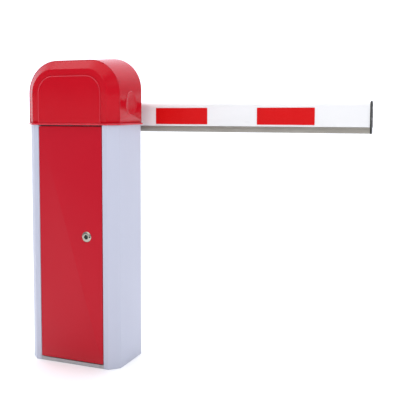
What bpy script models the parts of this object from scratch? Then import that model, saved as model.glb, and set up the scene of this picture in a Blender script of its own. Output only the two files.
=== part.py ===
"""Automatic boom barrier: steel cabinet, red door and hood, parallel crank drive, balance springs and boom.

Metres, +Z up, the door faces -Y, the boom lies along +X behind the cabinet. Origin: centre of the base.
"""

import math

import bmesh
import bpy
from mathutils import Vector

# Driving dimensions.
GAP = 0.0003
WIDTH = 0.330
DEPTH = 0.215
BODY_H = 0.785
CORNER = 0.030
SHEET = 0.002
HALF_W = WIDTH / 2
HALF_D = DEPTH / 2
IN_X = HALF_W - SHEET
IN_Y = HALF_D - SHEET

DOOR_HALF = 0.1155
DOOR_Z = (0.0142, 0.7812)
DOOR_DEEP = 0.020
DOOR_GAP = 0.0015
DOOR_PIVOT = (-DOOR_HALF + 0.003, -HALF_D + 0.003)
LOCK_X = 0.0594
LOCK_Z = 0.427

HOOD_OUT = 0.0025
HOOD_WALL = 0.003
HOOD_FRONT_Z = 0.9925
HOOD_REAR_Z = 1.0065
HOOD_R = 0.105
HOOD_LOW = BODY_H + GAP
BOSS_R = 0.039
BOSS_Z = 0.8555

SHAFT_Z = 0.820
SHAFT_R = 0.015
CRANK_Z = 0.655
ARM_R = 0.060
ARM_ANGLE = math.radians(-45)
PIN_R = 0.006
GEAR_SHAFT_R = 0.0103
ARM_Y = (-0.041, -0.031)
ROD_Y = (-0.0530, -0.0430)
SPRING_ARM_R = 0.055
SPRING_ARM_ANGLE = math.radians(135)
SPRING_Y = -0.048
SPRING_APART = 0.0180
SPRING_Z = (0.1660, 0.5877)
YOKE_Z = (0.588, 0.600)
DECK_Z = (0.736, 0.742)

BOOM_Z = 0.820
BOOM_H = 0.080
BOOM_Y = (0.1655, 0.2105)
BOOM_X = (-0.100, 0.8990)
BOOM_WALL = 0.0025
CAP_X = (0.8993, 0.9023)
RUBBER_Z = (0.7600, 0.7797)
BAND_X = ((0.182, 0.370), (0.542, 0.730))

PAINTS = {
    "cabinet_paint": ((0.60, 0.63, 0.75), 0.30, 0.0),
    "red_paint": ((0.51, 0.018, 0.027), 0.25, 0.0),
    "red_moulding": ((0.51, 0.018, 0.027), 0.28, 0.0),
    "zinc_steel": ((0.55, 0.56, 0.58), 0.35, 1.0),
    "bright_steel": ((0.62, 0.62, 0.63), 0.25, 1.0),
    "spring_steel": ((0.28, 0.28, 0.30), 0.35, 1.0),
    "cast_grey": ((0.20, 0.21, 0.22), 0.55, 1.0),
    "motor_paint": ((0.05, 0.09, 0.16), 0.40, 0.0),
    "chrome": ((0.80, 0.80, 0.80), 0.12, 1.0),
    "black_rubber": ((0.02, 0.02, 0.02), 0.80, 0.0),
    "grey_rubber": ((0.34, 0.31, 0.26), 0.70, 0.0),
    "black_plastic": ((0.03, 0.03, 0.035), 0.45, 0.0),
    "grey_plastic": ((0.45, 0.46, 0.46), 0.50, 0.0),
    "clear_lid": ((0.30, 0.32, 0.34), 0.20, 0.0),
    "green_board": ((0.01, 0.16, 0.05), 0.45, 0.0),
    "white_profile": ((0.85, 0.85, 0.85), 0.25, 0.0),
    "red_film": ((0.70, 0.01, 0.01), 0.30, 0.0),
    "cap_grey": ((0.045, 0.047, 0.035), 0.50, 0.0),
}


def clear_scene():
    for ob in list(bpy.data.objects):
        bpy.data.objects.remove(ob, do_unlink=True)


def material(name):
    """One Principled material per sub-part finish."""
    colour, rough, metal = PAINTS[name.split("-")[0]]
    mat = bpy.data.materials.new(name)
    mat.use_nodes = True
    shader = mat.node_tree.nodes["Principled BSDF"]
    shader.inputs["Base Color"].default_value = (*colour, 1.0)
    shader.inputs["Roughness"].default_value = rough
    shader.inputs["Metallic"].default_value = metal
    return mat


def prism(outline, low, high, plane="xy"):
    """A flat outline stretched from low to high along the axis its plane leaves out."""
    place = {
        "xy": lambda a, b, c: (a, b, c),
        "xz": lambda a, b, c: (a, c, b),
        "yz": lambda a, b, c: (c, a, b),
    }[plane]
    bm = bmesh.new()
    near = [bm.verts.new(place(a, b, low)) for a, b in outline]
    far = [bm.verts.new(place(a, b, high)) for a, b in outline]
    bm.faces.new(near)
    bm.faces.new(far)
    for i in range(len(near)):
        j = (i + 1) % len(near)
        bm.faces.new((near[i], near[j], far[j], far[i]))
    bmesh.ops.recalc_face_normals(bm, faces=bm.faces)
    return bm


def block(x, y, z):
    """A box between two limits on each axis."""
    return prism([(x[0], y[0]), (x[1], y[0]), (x[1], y[1]), (x[0], y[1])], z[0], z[1])


def circle(cx, cz, radius, steps=24, start=0.0):
    turn = 2 * math.pi / steps
    return [
        (cx + radius * math.cos(start + i * turn), cz + radius * math.sin(start + i * turn))
        for i in range(steps)
    ]


def rod_along(axis, centre, radius, low, high, steps=24):
    """A cylinder along x, y or z; centre holds the two other coordinates."""
    plane = {"x": "yz", "y": "xz", "z": "xy"}[axis]
    return prism(circle(centre[0], centre[1], radius, steps), low, high, plane)


def rounded(a, b, radius, steps=4):
    """Outline of a rectangle with rounded corners, a and b being its limits."""
    points = []
    corners = ((a[1], b[1], 0), (a[0], b[1], 1), (a[0], b[0], 2), (a[1], b[0], 3))
    for ca, cb, quarter in corners:
        oa = ca - radius if ca == a[1] else ca + radius
        ob = cb - radius if cb == b[1] else cb + radius
        for i in range(steps + 1):
            angle = (quarter + i / steps) * math.pi / 2
            points.append((oa + radius * math.cos(angle), ob + radius * math.sin(angle)))
    return points


def octagon(inset=0.0):
    """The cabinet's plan, moved in by inset."""
    x = HALF_W - inset
    y = HALF_D - inset
    c = CORNER - inset * (2 - math.sqrt(2))
    return [
        (x - c, -y), (x, -y + c), (x, y - c), (x - c, y),
        (-x + c, y), (-x, y - c), (-x, -y + c), (-x + c, -y),
    ]


def capsule(start, end, r_start, r_end, steps=8):
    """Outline of an arm with a round eye at each end."""
    run = Vector(end) - Vector(start)
    heading = math.atan2(run.y, run.x)
    lean = math.acos((r_start - r_end) / run.length)
    points = []
    for i in range(steps + 1):
        angle = heading + lean + (2 * math.pi - 2 * lean) * i / steps
        points.append((start[0] + r_start * math.cos(angle), start[1] + r_start * math.sin(angle)))
    for i in range(steps + 1):
        angle = heading - lean + 2 * lean * i / steps
        points.append((end[0] + r_end * math.cos(angle), end[1] + r_end * math.sin(angle)))
    return points


def lathe(profile, centre, axis="z", steps=24):
    """A closed (radius, along) profile turned about an axis through centre."""
    bm = bmesh.new()
    turn = 2 * math.pi / steps
    rings = []
    for radius, along in profile:
        ring = []
        for i in range(steps if radius > 0 else 1):
            a = radius * math.cos(i * turn)
            b = radius * math.sin(i * turn)
            spot = {"x": (along, a, b), "y": (a, along, b), "z": (a, b, along)}[axis]
            ring.append(bm.verts.new(Vector(spot) + Vector(centre)))
        rings.append(ring)
    for k in range(len(rings)):
        join_rings(bm, rings[k], rings[(k + 1) % len(rings)])
    bmesh.ops.recalc_face_normals(bm, faces=bm.faces)
    return bm


def join_rings(bm, first, second):
    """Faces between two rings, either of which may be a single point on the axis."""
    count = max(len(first), len(second))
    if count == 1:
        return
    for i in range(count):
        j = (i + 1) % count
        corners = [first[i % len(first)], first[j % len(first)], second[j % len(second)], second[i % len(second)]]
        unique = list(dict.fromkeys(corners))
        if len(unique) > 2:
            bm.faces.new(unique)


def sweep(path, radius, sides=5):
    """A round wire along a path."""
    bm = bmesh.new()
    rings = []
    for k, spot in enumerate(path):
        ahead = path[min(k + 1, len(path) - 1)]
        behind = path[max(k - 1, 0)]
        along = (Vector(ahead) - Vector(behind)).normalized()
        side = along.cross(Vector((0.0, 0.0, 1.0)))
        side = side.normalized() if side.length > 0.05 else Vector((1.0, 0.0, 0.0))
        up = side.cross(along).normalized()
        ring = []
        for i in range(sides):
            angle = 2 * math.pi * i / sides
            ring.append(bm.verts.new(Vector(spot) + radius * (side * math.cos(angle) + up * math.sin(angle))))
        rings.append(ring)
    for k in range(len(rings) - 1):
        join_rings(bm, rings[k], rings[k + 1])
    bm.faces.new(rings[0])
    bm.faces.new(rings[-1])
    bmesh.ops.recalc_face_normals(bm, faces=bm.faces)
    return bm


def temp_object(bm):
    mesh = bpy.data.meshes.new("shape")
    bm.to_mesh(mesh)
    bm.free()
    ob = bpy.data.objects.new("shape", mesh)
    bpy.context.scene.collection.objects.link(ob)
    return ob


def merged(base, adds=(), cuts=()):
    """Base joined with adds, then cut by cuts, as one mesh."""
    ob = temp_object(base)
    for operation, tools in (("UNION", adds), ("DIFFERENCE", cuts)):
        for tool in tools:
            cutter = temp_object(tool)
            cutter.hide_render = True
            cutter.display_type = "WIRE"
            mod = ob.modifiers.new("join", "BOOLEAN")
            mod.operation = operation
            mod.solver = "EXACT"
            mod.object = cutter
            bpy.context.view_layer.update()
            seen = ob.evaluated_get(bpy.context.evaluated_depsgraph_get())
            mesh = bpy.data.meshes.new_from_object(seen)
            ob.modifiers.clear()
            ob.data = mesh
            bpy.data.objects.remove(cutter, do_unlink=True)
    bm = bmesh.new()
    bm.from_mesh(ob.data)
    bpy.data.objects.remove(ob, do_unlink=True)
    return bm


def add(name, bm, finish, pivot=(0.0, 0.0, 0.0), smooth=False):
    """Puts a shape in the scene as a named piece with its origin at pivot."""
    bmesh.ops.translate(bm, verts=bm.verts, vec=-Vector(pivot))
    mesh = bpy.data.meshes.new(name)
    bm.to_mesh(mesh)
    bm.free()
    mesh.materials.append(material(f"{finish}-{name}"))
    ob = bpy.data.objects.new(name, mesh)
    ob.location = pivot
    bpy.context.scene.collection.objects.link(ob)
    if smooth:
        mesh.shade_smooth()
    return ob


# Cabinet.
def base_plate():
    holes = [rod_along("z", (x, y), 0.0072, -0.01, 0.02, 16) for x, y in anchor_spots()]
    holes.append(prism(rounded((-0.120, -0.050), (-0.035, 0.035), 0.015), -0.01, 0.02))
    plate = prism(octagon(SHEET + GAP), 0.0, 0.008)
    add("base_plate", merged(plate, cuts=holes), "zinc_steel")


def anchor_spots():
    return [(sx * 0.130, sy * 0.066) for sx in (-1, 1) for sy in (-1, 1)]


def anchors():
    """Four anchor bolts with washer and nut, standing through the base plate."""
    for number, (x, y) in enumerate(anchor_spots(), 1):
        stud = rod_along("z", (x, y), 0.0060, 0.0005, 0.034, 12)
        washer = rod_along("z", (x, y), 0.0130, 0.0083, 0.0108, 16)
        nut = prism(circle(x, y, 0.0110, 6), 0.0106, 0.0206)
        add(f"anchor_bolt_{number}", merged(stud, adds=[washer, nut]), "zinc_steel")


def cabinet_shell():
    """Folded sheet body with a door opening, lips round the opening, a sill and a top flange."""
    edge = DOOR_HALF + DOOR_GAP
    deep = (-HALF_D, -HALF_D + DOOR_DEEP + 0.001)
    sill_z = 0.012
    top_z = 0.7827
    shell = prism(octagon(), 0.0, BODY_H)
    hollow = prism(octagon(SHEET), -0.01, BODY_H + 0.01)
    opening = block((-edge, edge), (-HALF_D - 0.01, -HALF_D + 0.01), (sill_z, top_z))
    lips = [
        block((-edge - SHEET, -edge), deep, (0.0093, BODY_H - 0.0005)),
        block((edge, edge + SHEET), deep, (0.0093, BODY_H - 0.0005)),
        block((-edge - 0.001, edge + 0.001), (-HALF_D + 0.0005, deep[1]), (0.0093, sill_z)),
        block((-edge - 0.001, edge + 0.001), (-HALF_D + 0.0005, deep[1]), (top_z, BODY_H - 0.0005)),
    ]
    body = merged(shell, cuts=[hollow, opening])
    pins = [
        rod_along("z", DOOR_PIVOT, 0.0025, -0.01, 0.013, 12),
        rod_along("z", DOOR_PIVOT, 0.0025, 0.775, 0.80, 12),
    ]
    add("cabinet_shell", merged(body, adds=lips, cuts=pins), "cabinet_paint")


def door():
    """Pan-shaped door leaf, folded back all round."""
    x = (-DOOR_HALF, DOOR_HALF)
    leaf = block(x, (-HALF_D, -HALF_D + DOOR_DEEP), DOOR_Z)
    inner = (DOOR_Z[0] + SHEET, DOOR_Z[1] - SHEET)
    pan = block(
        (x[0] + SHEET, x[1] - SHEET), (-HALF_D + SHEET, -HALF_D + DOOR_DEEP + 0.01), inner
    )
    corner = (DOOR_PIVOT[0] + 0.0055, DOOR_PIVOT[1] + 0.0055)
    knuckles = [
        block((x[0] + 0.0005, corner[0]), (-HALF_D + 0.0005, corner[1]), (DOOR_Z[0] + 0.0005, 0.030)),
        block((x[0] + 0.0005, corner[0]), (-HALF_D + 0.0005, corner[1]), (0.763, DOOR_Z[1] - 0.0005)),
    ]
    body = merged(leaf, cuts=[pan])
    holes = [
        rod_along("z", DOOR_PIVOT, 0.00235, 0.0, 0.027, 12),
        rod_along("z", DOOR_PIVOT, 0.00235, 0.766, 0.80, 12),
        rod_along("y", (LOCK_X, LOCK_Z), 0.0103, -0.12, -0.09, 20),
    ]
    add("door", merged(body, adds=knuckles, cuts=holes), "red_paint", (*DOOR_PIVOT, 0.0))


def door_pins():
    """Pivot pins of the door, each with a collar that carries it."""
    low = rod_along("z", DOOR_PIVOT, 0.0020, 0.0090, 0.0250, 12)
    collar = rod_along("z", DOOR_PIVOT, 0.0040, 0.0123, 0.0138, 12)
    add("door_pin_lower", merged(low, adds=[collar]), "bright_steel", (*DOOR_PIVOT, 0.0))
    high = rod_along("z", DOOR_PIVOT, 0.0020, 0.7680, 0.7842, 12)
    add("door_pin_upper", high, "bright_steel", (*DOOR_PIVOT, 0.0))


def door_lock():
    """Round lock: fixed barrel, turning plug and the long cam behind the door."""
    pivot = (LOCK_X, -HALF_D, LOCK_Z)
    face = -HALF_D - 0.0045
    barrel = lathe(
        [
            (0.0065, face), (0.0150, face), (0.0170, face + 0.0015), (0.0170, -HALF_D - GAP),
            (0.0100, -HALF_D - GAP), (0.0100, -0.0865), (0.0065, -0.0865),
        ],
        (LOCK_X, 0.0, LOCK_Z), "y", 28,
    )
    add("lock_barrel", barrel, "chrome", pivot)
    plug = rod_along("y", (LOCK_X, LOCK_Z), 0.0062, face + 0.0008, -0.0780, 20)
    slot = block((LOCK_X - 0.0008, LOCK_X + 0.0008), (-0.13, face + 0.004), (LOCK_Z - 0.004, LOCK_Z + 0.004))
    add("lock_plug", merged(plug, cuts=[slot]), "chrome", pivot)
    cam = prism(capsule((LOCK_X, LOCK_Z), (LOCK_X, LOCK_Z + 0.066), 0.0115, 0.007, 8), -0.0850, -0.0822, "xz")
    bore = rod_along("y", (LOCK_X, LOCK_Z), 0.0065, -0.10, -0.07, 20)
    add("lock_cam", merged(cam, cuts=[bore]), "zinc_steel", pivot)


# Hood.
def arch(half, top, radius, low, steps=7):
    """Arch outline from the left foot over the top to the right foot."""
    points = [(-half, low)]
    for i in range(steps + 1):
        angle = math.pi - i * math.pi / 2 / steps
        points.append((-half + radius + radius * math.cos(angle), top - radius + radius * math.sin(angle)))
    for i in range(steps + 1):
        angle = math.pi / 2 - i * math.pi / 2 / steps
        points.append((half - radius + radius * math.cos(angle), top - radius + radius * math.sin(angle)))
    points.append((half, low))
    return points


def hood_solid(inset, low):
    """The hood's outside, moved in by inset, as a closed lump down to low."""
    half = HALF_W + HOOD_OUT - inset
    deep = HALF_D + HOOD_OUT - inset
    slant = CORNER - inset * (2 - math.sqrt(2))
    front = HOOD_FRONT_Z - inset
    rear = HOOD_REAR_Z - inset
    radius = HOOD_R - inset
    sections = [
        (-deep, half - slant, front - slant, radius - slant),
        (-deep + slant, half, front, radius),
        (deep - slant, half, rear, radius),
        (deep, half - slant, rear - slant, radius - slant),
    ]
    bm = bmesh.new()
    rows = [[bm.verts.new((x, y, z)) for x, z in arch(h, t, r, low)] for y, h, t, r in sections]
    for near, far in zip(rows, rows[1:]):
        join_rings(bm, near, far)
    bm.faces.new(rows[0])
    bm.faces.new(rows[-1])
    bmesh.ops.recalc_face_normals(bm, faces=bm.faces)
    return bm


def hood():
    """Domed cover with a raised front panel, side bosses, a rim bead and a notch for the shaft."""
    panel_half = DOOR_HALF
    panel_top = HOOD_FRONT_Z - CORNER - 0.019
    face = -HALF_D - HOOD_OUT
    panel = prism(arch(panel_half, panel_top, 0.056, HOOD_LOW + 0.006), face - 0.002, face + 0.002, "xz")
    bosses = rod_along("x", (0.0, BOSS_Z), BOSS_R, -HALF_W - HOOD_OUT - 0.002, HALF_W + HOOD_OUT + 0.002, 28)
    bead = prism(octagon(-HOOD_OUT - 0.003), HOOD_LOW, HOOD_LOW + 0.005)
    notch = prism(arch(SHAFT_R + 0.011, SHAFT_Z + SHAFT_R + 0.013, 0.010, 0.77), 0.09, 0.13, "xz")
    lump = hood_solid(0.0, HOOD_LOW)
    hollow = hood_solid(HOOD_WALL, HOOD_LOW - 0.01)
    add("hood", merged(lump, adds=[panel, bosses, bead], cuts=[hollow, notch]), "red_moulding")


def hood_catches():
    """Tongues inside the hood that drop inside the cabinet walls."""
    for side, name in ((-1, "left"), (1, "right")):
        low = sorted((side * (IN_X - GAP), side * (IN_X - GAP - 0.002)))
        pad = sorted((side * (IN_X - 0.001), side * (HALF_W + HOOD_OUT - HOOD_WALL - GAP)))
        tongue = block(low, (-0.030, 0.030), (0.762, 0.830))
        add(f"hood_catch_{name}", merged(tongue, adds=[block(pad, (-0.024, 0.024), (0.790, 0.826))]), "zinc_steel")


# Drive.
def mech_deck():
    """Folded deck plate across the cabinet that carries bearings, gearbox and stops."""
    edge = IN_X - GAP
    plate = block((-edge, edge), (-0.022, 0.075), DECK_Z)
    flanges = [
        block((-edge, -edge + 0.003), (-0.022, 0.075), (0.712, DECK_Z[0] + 0.001)),
        block((edge - 0.003, edge), (-0.022, 0.075), (0.712, DECK_Z[0] + 0.001)),
    ]
    add("mech_deck", merged(plate, adds=flanges), "zinc_steel")


def bearing(name, y):
    """Pillow block bored for the main shaft, on the deck."""
    foot = DECK_Z[1] + GAP
    outline = [
        (-0.048, foot), (0.048, foot), (0.048, foot + 0.012), (0.030, foot + 0.012),
        (0.029, SHAFT_Z), (0.024, SHAFT_Z + 0.017), (0.012, SHAFT_Z + 0.027), (-0.012, SHAFT_Z + 0.027),
        (-0.024, SHAFT_Z + 0.017), (-0.029, SHAFT_Z), (-0.030, foot + 0.012), (-0.048, foot + 0.012),
    ]
    bore = rod_along("y", (0.0, SHAFT_Z), SHAFT_R + 0.0004, y[0] - 0.01, y[1] + 0.01, 32)
    add(name, merged(prism(outline, y[0], y[1], "xz"), cuts=[bore]), "cast_grey")


def main_shaft():
    shaft = rod_along("y", (0.0, SHAFT_Z), SHAFT_R, ARM_Y[0] - 0.003, 0.1275, 32)
    add("main_shaft", shaft, "bright_steel", (0.0, 0.0, SHAFT_Z))


def pin_spot(height):
    """Centre of the pin on an arm whose axis is at height, in the rest pose."""
    return (ARM_R * math.cos(ARM_ANGLE), height + ARM_R * math.sin(ARM_ANGLE))


def spring_pin_spot():
    """Centre of the pin that carries the springs, in the rest pose."""
    return (
        SPRING_ARM_R * math.cos(SPRING_ARM_ANGLE),
        SHAFT_Z + SPRING_ARM_R * math.sin(SPRING_ARM_ANGLE),
    )


def pin_at(spot):
    return rod_along("y", spot, PIN_R, ROD_Y[0] - 0.0035, ARM_Y[0] + 0.001, 16)


def main_lever():
    """Two-armed lever on the main shaft: one arm for the drive rod, one for the springs."""
    drive = pin_spot(SHAFT_Z)
    lift = spring_pin_spot()
    web = prism(capsule((0.0, SHAFT_Z), drive, 0.026, 0.013, 10), *ARM_Y, "xz")
    second = prism(capsule((0.0, SHAFT_Z), lift, 0.0255, 0.0125, 10), *ARM_Y, "xz")
    bore = rod_along("y", (0.0, SHAFT_Z), SHAFT_R + GAP, -0.06, 0.0, 32)
    lever = merged(web, adds=[second, pin_at(drive), pin_at(lift)], cuts=[bore])
    add("main_lever", lever, "zinc_steel", (0.0, 0.0, SHAFT_Z))


def crank_arm():
    """Crank made in one with the gearbox's output shaft."""
    spot = pin_spot(CRANK_Z)
    web = prism(capsule((0.0, CRANK_Z), spot, 0.020, 0.013, 10), *ARM_Y, "xz")
    shaft = rod_along("y", (0.0, CRANK_Z), GEAR_SHAFT_R, ARM_Y[0] - 0.002, 0.024, 24)
    add("crank_arm", merged(web, adds=[pin_at(spot), shaft]), "zinc_steel", (0.0, 0.0, CRANK_Z))


def link_rod(top, low):
    """Flat bar with a bored eye at each end, in the plane in front of the arms."""
    middle = ((top[0] - 0.006, top[0] + 0.006), (low[1], top[1]))
    web = prism(rounded(*middle, 0.004, 2), ROD_Y[0] + 0.002, ROD_Y[1] - 0.002, "xz")
    eyes = [rod_along("y", spot, 0.0125, *ROD_Y, 20) for spot in (top, low)]
    bores = [rod_along("y", spot, PIN_R + 0.0004, ROD_Y[0] - 0.01, ROD_Y[1] + 0.01, 16) for spot in (top, low)]
    return merged(web, adds=eyes, cuts=bores)


def connecting_rod():
    """Rod that keeps the crank and the main lever parallel."""
    top = pin_spot(SHAFT_Z)
    add("connecting_rod", link_rod(top, pin_spot(CRANK_Z)), "zinc_steel", (top[0], 0.0, top[1]))


def gearbox():
    """Worm gearbox hung under the deck, its output shaft to the front, the motor flange below."""
    top = DECK_Z[0] - GAP
    case = prism(rounded((-0.052, 0.052), (0.612, top), 0.018, 4), -0.018, 0.058, "xz")
    boss = rod_along("y", (0.0, CRANK_Z), 0.030, -0.0265, 0.0, 24)
    flange = rod_along("z", (0.0, 0.020), 0.042, 0.6003, 0.618, 24)
    lugs = block((-0.075, 0.075), (-0.010, 0.050), (top - 0.008, top))
    bore = rod_along("y", (0.0, CRANK_Z), GEAR_SHAFT_R + 0.0004, -0.04, 0.03, 24)
    add("gearbox", merged(case, adds=[boss, flange, lugs], cuts=[bore]), "cast_grey")


def motor():
    """Finned motor with its end bell, hanging under the gearbox."""
    profile = [(0.0, 0.6000), (0.042, 0.6000), (0.042, 0.592), (0.033, 0.592)]
    for i in range(6):
        z = 0.582 - i * 0.020
        profile += [(0.033, z), (0.038, z), (0.038, z - 0.010), (0.033, z - 0.010)]
    profile += [(0.033, 0.462), (0.024, 0.452), (0.0, 0.452)]
    add("motor", lathe(profile, (0.0, 0.020, 0.0), "z", 24), "motor_paint", (0.0, 0.020, 0.0))


def handwheel():
    """Wheel on the motor's tail for raising the boom by hand."""
    rim = lathe([(0.022, 0.430), (0.030, 0.430), (0.030, 0.442), (0.022, 0.442)], (0.0, 0.020, 0.0), "z", 24)
    hub = rod_along("z", (0.0, 0.020), 0.008, 0.428, 0.4517, 16)
    spokes = [
        block((-0.024, 0.024), (0.017, 0.023), (0.433, 0.439)),
        block((-0.003, 0.003), (-0.004, 0.044), (0.433, 0.439)),
    ]
    add("handwheel", merged(rim, adds=[hub, *spokes]), "red_paint", (0.0, 0.020, 0.0))


# Balance springs.
def spring_spots():
    """Centres of the left and the right spring."""
    x = spring_pin_spot()[0]
    return [(x - SPRING_APART, "left"), (x + SPRING_APART, "right")]


def spring_link():
    """Pull bar that hangs from the lever and ends under the yoke in a bolt head."""
    x, z = spring_pin_spot()
    bar = prism(rounded((x - 0.006, x + 0.006), (YOKE_Z[1] + 0.002, z), 0.004, 2), ROD_Y[0] + 0.002, ROD_Y[1] - 0.002, "xz")
    eye = rod_along("y", (x, z), 0.0125, *ROD_Y, 20)
    bore = rod_along("y", (x, z), PIN_R + 0.0004, ROD_Y[0] - 0.01, ROD_Y[1] + 0.01, 16)
    stem = rod_along("z", (x, SPRING_Y), 0.0040, YOKE_Z[0] - 0.009, YOKE_Z[1] + 0.006, 12)
    nut = prism(circle(x, SPRING_Y, 0.0075, 6), YOKE_Z[0] - 0.0073, YOKE_Z[0] - GAP)
    link = merged(bar, adds=[eye, stem, nut], cuts=[bore])
    add("spring_link", link, "zinc_steel", (x, 0.0, z))


def spring_yoke():
    """Crossbar between the pull bar and the two springs."""
    x, z = spring_pin_spot()
    bar = block((x - 0.032, x + 0.032), (SPRING_Y - 0.007, SPRING_Y + 0.007), YOKE_Z)
    hole = rod_along("z", (x, SPRING_Y), 0.0043, YOKE_Z[0] - 0.01, YOKE_Z[1] + 0.01, 12)
    add("spring_yoke", merged(bar, cuts=[hole]), "zinc_steel", (x, 0.0, z))


def springs():
    """Two tension springs side by side."""
    for x, name in spring_spots():
        path = []
        turns = 15
        steps = turns * 10
        for i in range(steps + 1):
            angle = 2 * math.pi * i / 10
            ends = min(i, steps - i) / 6
            radius = 0.0105 * min(1.0, 0.25 + ends * 0.75)
            z = SPRING_Z[0] + 0.0030 + (SPRING_Z[1] - SPRING_Z[0] - 0.0060) * i / steps
            path.append((x + radius * math.cos(angle), SPRING_Y + radius * math.sin(angle), z))
        add(f"spring_{name}", sweep(path, 0.0024, 5), "spring_steel", (x, SPRING_Y, SPRING_Z[0]), True)


def spring_hanger():
    """Bracket on the left wall that holds the lower ends of the springs."""
    edge = -IN_X + GAP
    shelf = block((edge, -0.004), (-0.066, -0.030), (0.150, 0.156))
    wall = block((edge, edge + 0.004), (-0.066, -0.010), (0.110, 0.190))
    holes = [rod_along("z", (x, SPRING_Y), 0.0045, 0.14, 0.17, 12) for x, _ in spring_spots()]
    add("spring_hanger", merged(shelf, adds=[wall], cuts=holes), "zinc_steel")


def spring_screws():
    """Tension screws of the springs, with their nuts under the bracket."""
    for x, name in spring_spots():
        screw = rod_along("z", (x, SPRING_Y), 0.0040, 0.120, 0.1657, 12)
        nut = prism(circle(x, SPRING_Y, 0.0080, 6), 0.1417, 0.1497)
        add(f"spring_screw_{name}", merged(screw, adds=[nut]), "bright_steel")


# Stops and limit switches.
def stop_arm():
    """Arm on the main shaft that meets the two rubber buffers."""
    angle = math.radians(225)
    tip = (0.052 * math.cos(angle), SHAFT_Z + 0.052 * math.sin(angle))
    web = prism(capsule((0.0, SHAFT_Z), tip, 0.024, 0.008, 10), 0.010, 0.024, "xz")
    bore = rod_along("y", (0.0, SHAFT_Z), SHAFT_R + GAP, 0.0, 0.04, 32)
    add("stop_arm", merged(web, cuts=[bore]), "zinc_steel", (0.0, 0.0, SHAFT_Z))


def stop_brackets():
    """Angle bracket on the deck at each side, carrying a buffer."""
    low = DECK_Z[1] + GAP
    for side, name in ((-1, "left"), (1, "right")):
        foot = block(sorted((side * 0.050, side * 0.080)), (0.004, 0.032), (low, low + 0.004))
        upright = block(sorted((side * 0.0745, side * 0.080)), (0.004, 0.032), (low, 0.798))
        add(f"stop_bracket_{name}", merged(foot, adds=[upright]), "zinc_steel")


def stop_buffers():
    """Rubber buffers on the uprights, one for each end of the boom's travel."""
    z = SHAFT_Z + 0.052 * math.sin(math.radians(225))
    for side, name in ((-1, "left"), (1, "right")):
        run = sorted((side * 0.0742, side * 0.0453))
        add(f"stop_buffer_{name}", rod_along("x", (0.017, z), 0.009, run[0], run[1], 16), "black_rubber")


def limit_cam():
    """Stepped disc on the main shaft for the limit switches."""
    points = []
    for i in range(32):
        angle = 2 * math.pi * i / 32
        radius = 0.030 if 5 <= i <= 12 else 0.024
        points.append((radius * math.cos(angle), SHAFT_Z + radius * math.sin(angle)))
    bore = rod_along("y", (0.0, SHAFT_Z), SHAFT_R + GAP, 0.0, 0.08, 32)
    add("limit_cam", merged(prism(points, 0.040, 0.052, "xz"), cuts=[bore]), "black_plastic", (0.0, 0.0, SHAFT_Z))


def limit_switches():
    """Two lever switches on the deck beside the stepped disc."""
    low = DECK_Z[1] + GAP
    for side, name in ((-1, "left"), (1, "right")):
        case = block(sorted((side * 0.040, side * 0.068)), (0.038, 0.054), (low, 0.790))
        neck = block(sorted((side * 0.0395, side * 0.046)), (0.042, 0.050), (0.780, 0.806))
        roller = rod_along("y", (side * 0.0400, 0.8100), 0.0065, 0.042, 0.050, 16)
        add(f"limit_switch_{name}", merged(case, adds=[neck, roller]), "black_plastic")


# Electrics.
def control_box():
    """Control housing on the back wall with its board, and the lid in front."""
    x = (-0.040, 0.125)
    z = (0.200, 0.370)
    outer = prism(rounded(x, z, 0.008, 3), 0.055, IN_Y - GAP, "xz")
    inner = prism(rounded((x[0] + 0.003, x[1] - 0.003), (z[0] + 0.003, z[1] - 0.003), 0.006, 3), 0.05, 0.102, "xz")
    add("control_housing", merged(outer, cuts=[inner]), "grey_plastic")
    lid = prism(rounded(x, z, 0.008, 3), 0.0500, 0.0547, "xz")
    add("control_lid", lid, "clear_lid")
    board = block((-0.030, 0.115), (0.0900, 0.0916), (0.212, 0.358))
    parts = [
        block((-0.020, 0.018), (0.0700, 0.0905), (0.300, 0.345)),
        block((0.030, 0.060), (0.0740, 0.0905), (0.305, 0.340)),
        block((-0.024, 0.108), (0.0780, 0.0905), (0.218, 0.232)),
        rod_along("y", (0.085, 0.320), 0.011, 0.066, 0.0905, 16),
        block((0.000, 0.020), (0.0860, 0.0905), (0.255, 0.275)),
    ]
    add("circuit_board", merged(board, adds=parts), "green_board")


def capacitor():
    """Run capacitor with its clip on the back wall."""
    can = rod_along("z", (-0.090, 0.078), 0.020, 0.250, 0.335, 24)
    clip = block((-0.112, -0.068), (0.090, IN_Y - GAP), (0.280, 0.300))
    add("capacitor", merged(can, adds=[clip]), "black_plastic")


def terminal_strip():
    """Row of cable terminals on the back wall."""
    rail = block((-0.060, 0.110), (0.096, IN_Y - GAP), (0.130, 0.152))
    terminals = [block((-0.050 + i * 0.019, -0.035 + i * 0.019), (0.078, 0.098), (0.126, 0.156)) for i in range(8)]
    add("terminal_strip", merged(rail, adds=terminals), "grey_plastic")


# Boom.
def boom_hub():
    """Flanged hub keyed on the shaft end behind the cabinet."""
    profile = [(0.024, 0.1155), (0.024, 0.1360), (0.046, 0.1360), (0.046, 0.1497), (0.0, 0.1497), (0.0, 0.1278)]
    profile += [(SHAFT_R + GAP, 0.1278), (SHAFT_R + GAP, 0.1155)]
    add("boom_hub", lathe(profile, (0.0, 0.0, SHAFT_Z), "y", 32), "zinc_steel", (0.0, 0.0, SHAFT_Z))


def bolt_spots():
    return [(x, BOOM_Z + dz) for x in (-0.065, 0.070) for dz in (-0.058, 0.058)]


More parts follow.
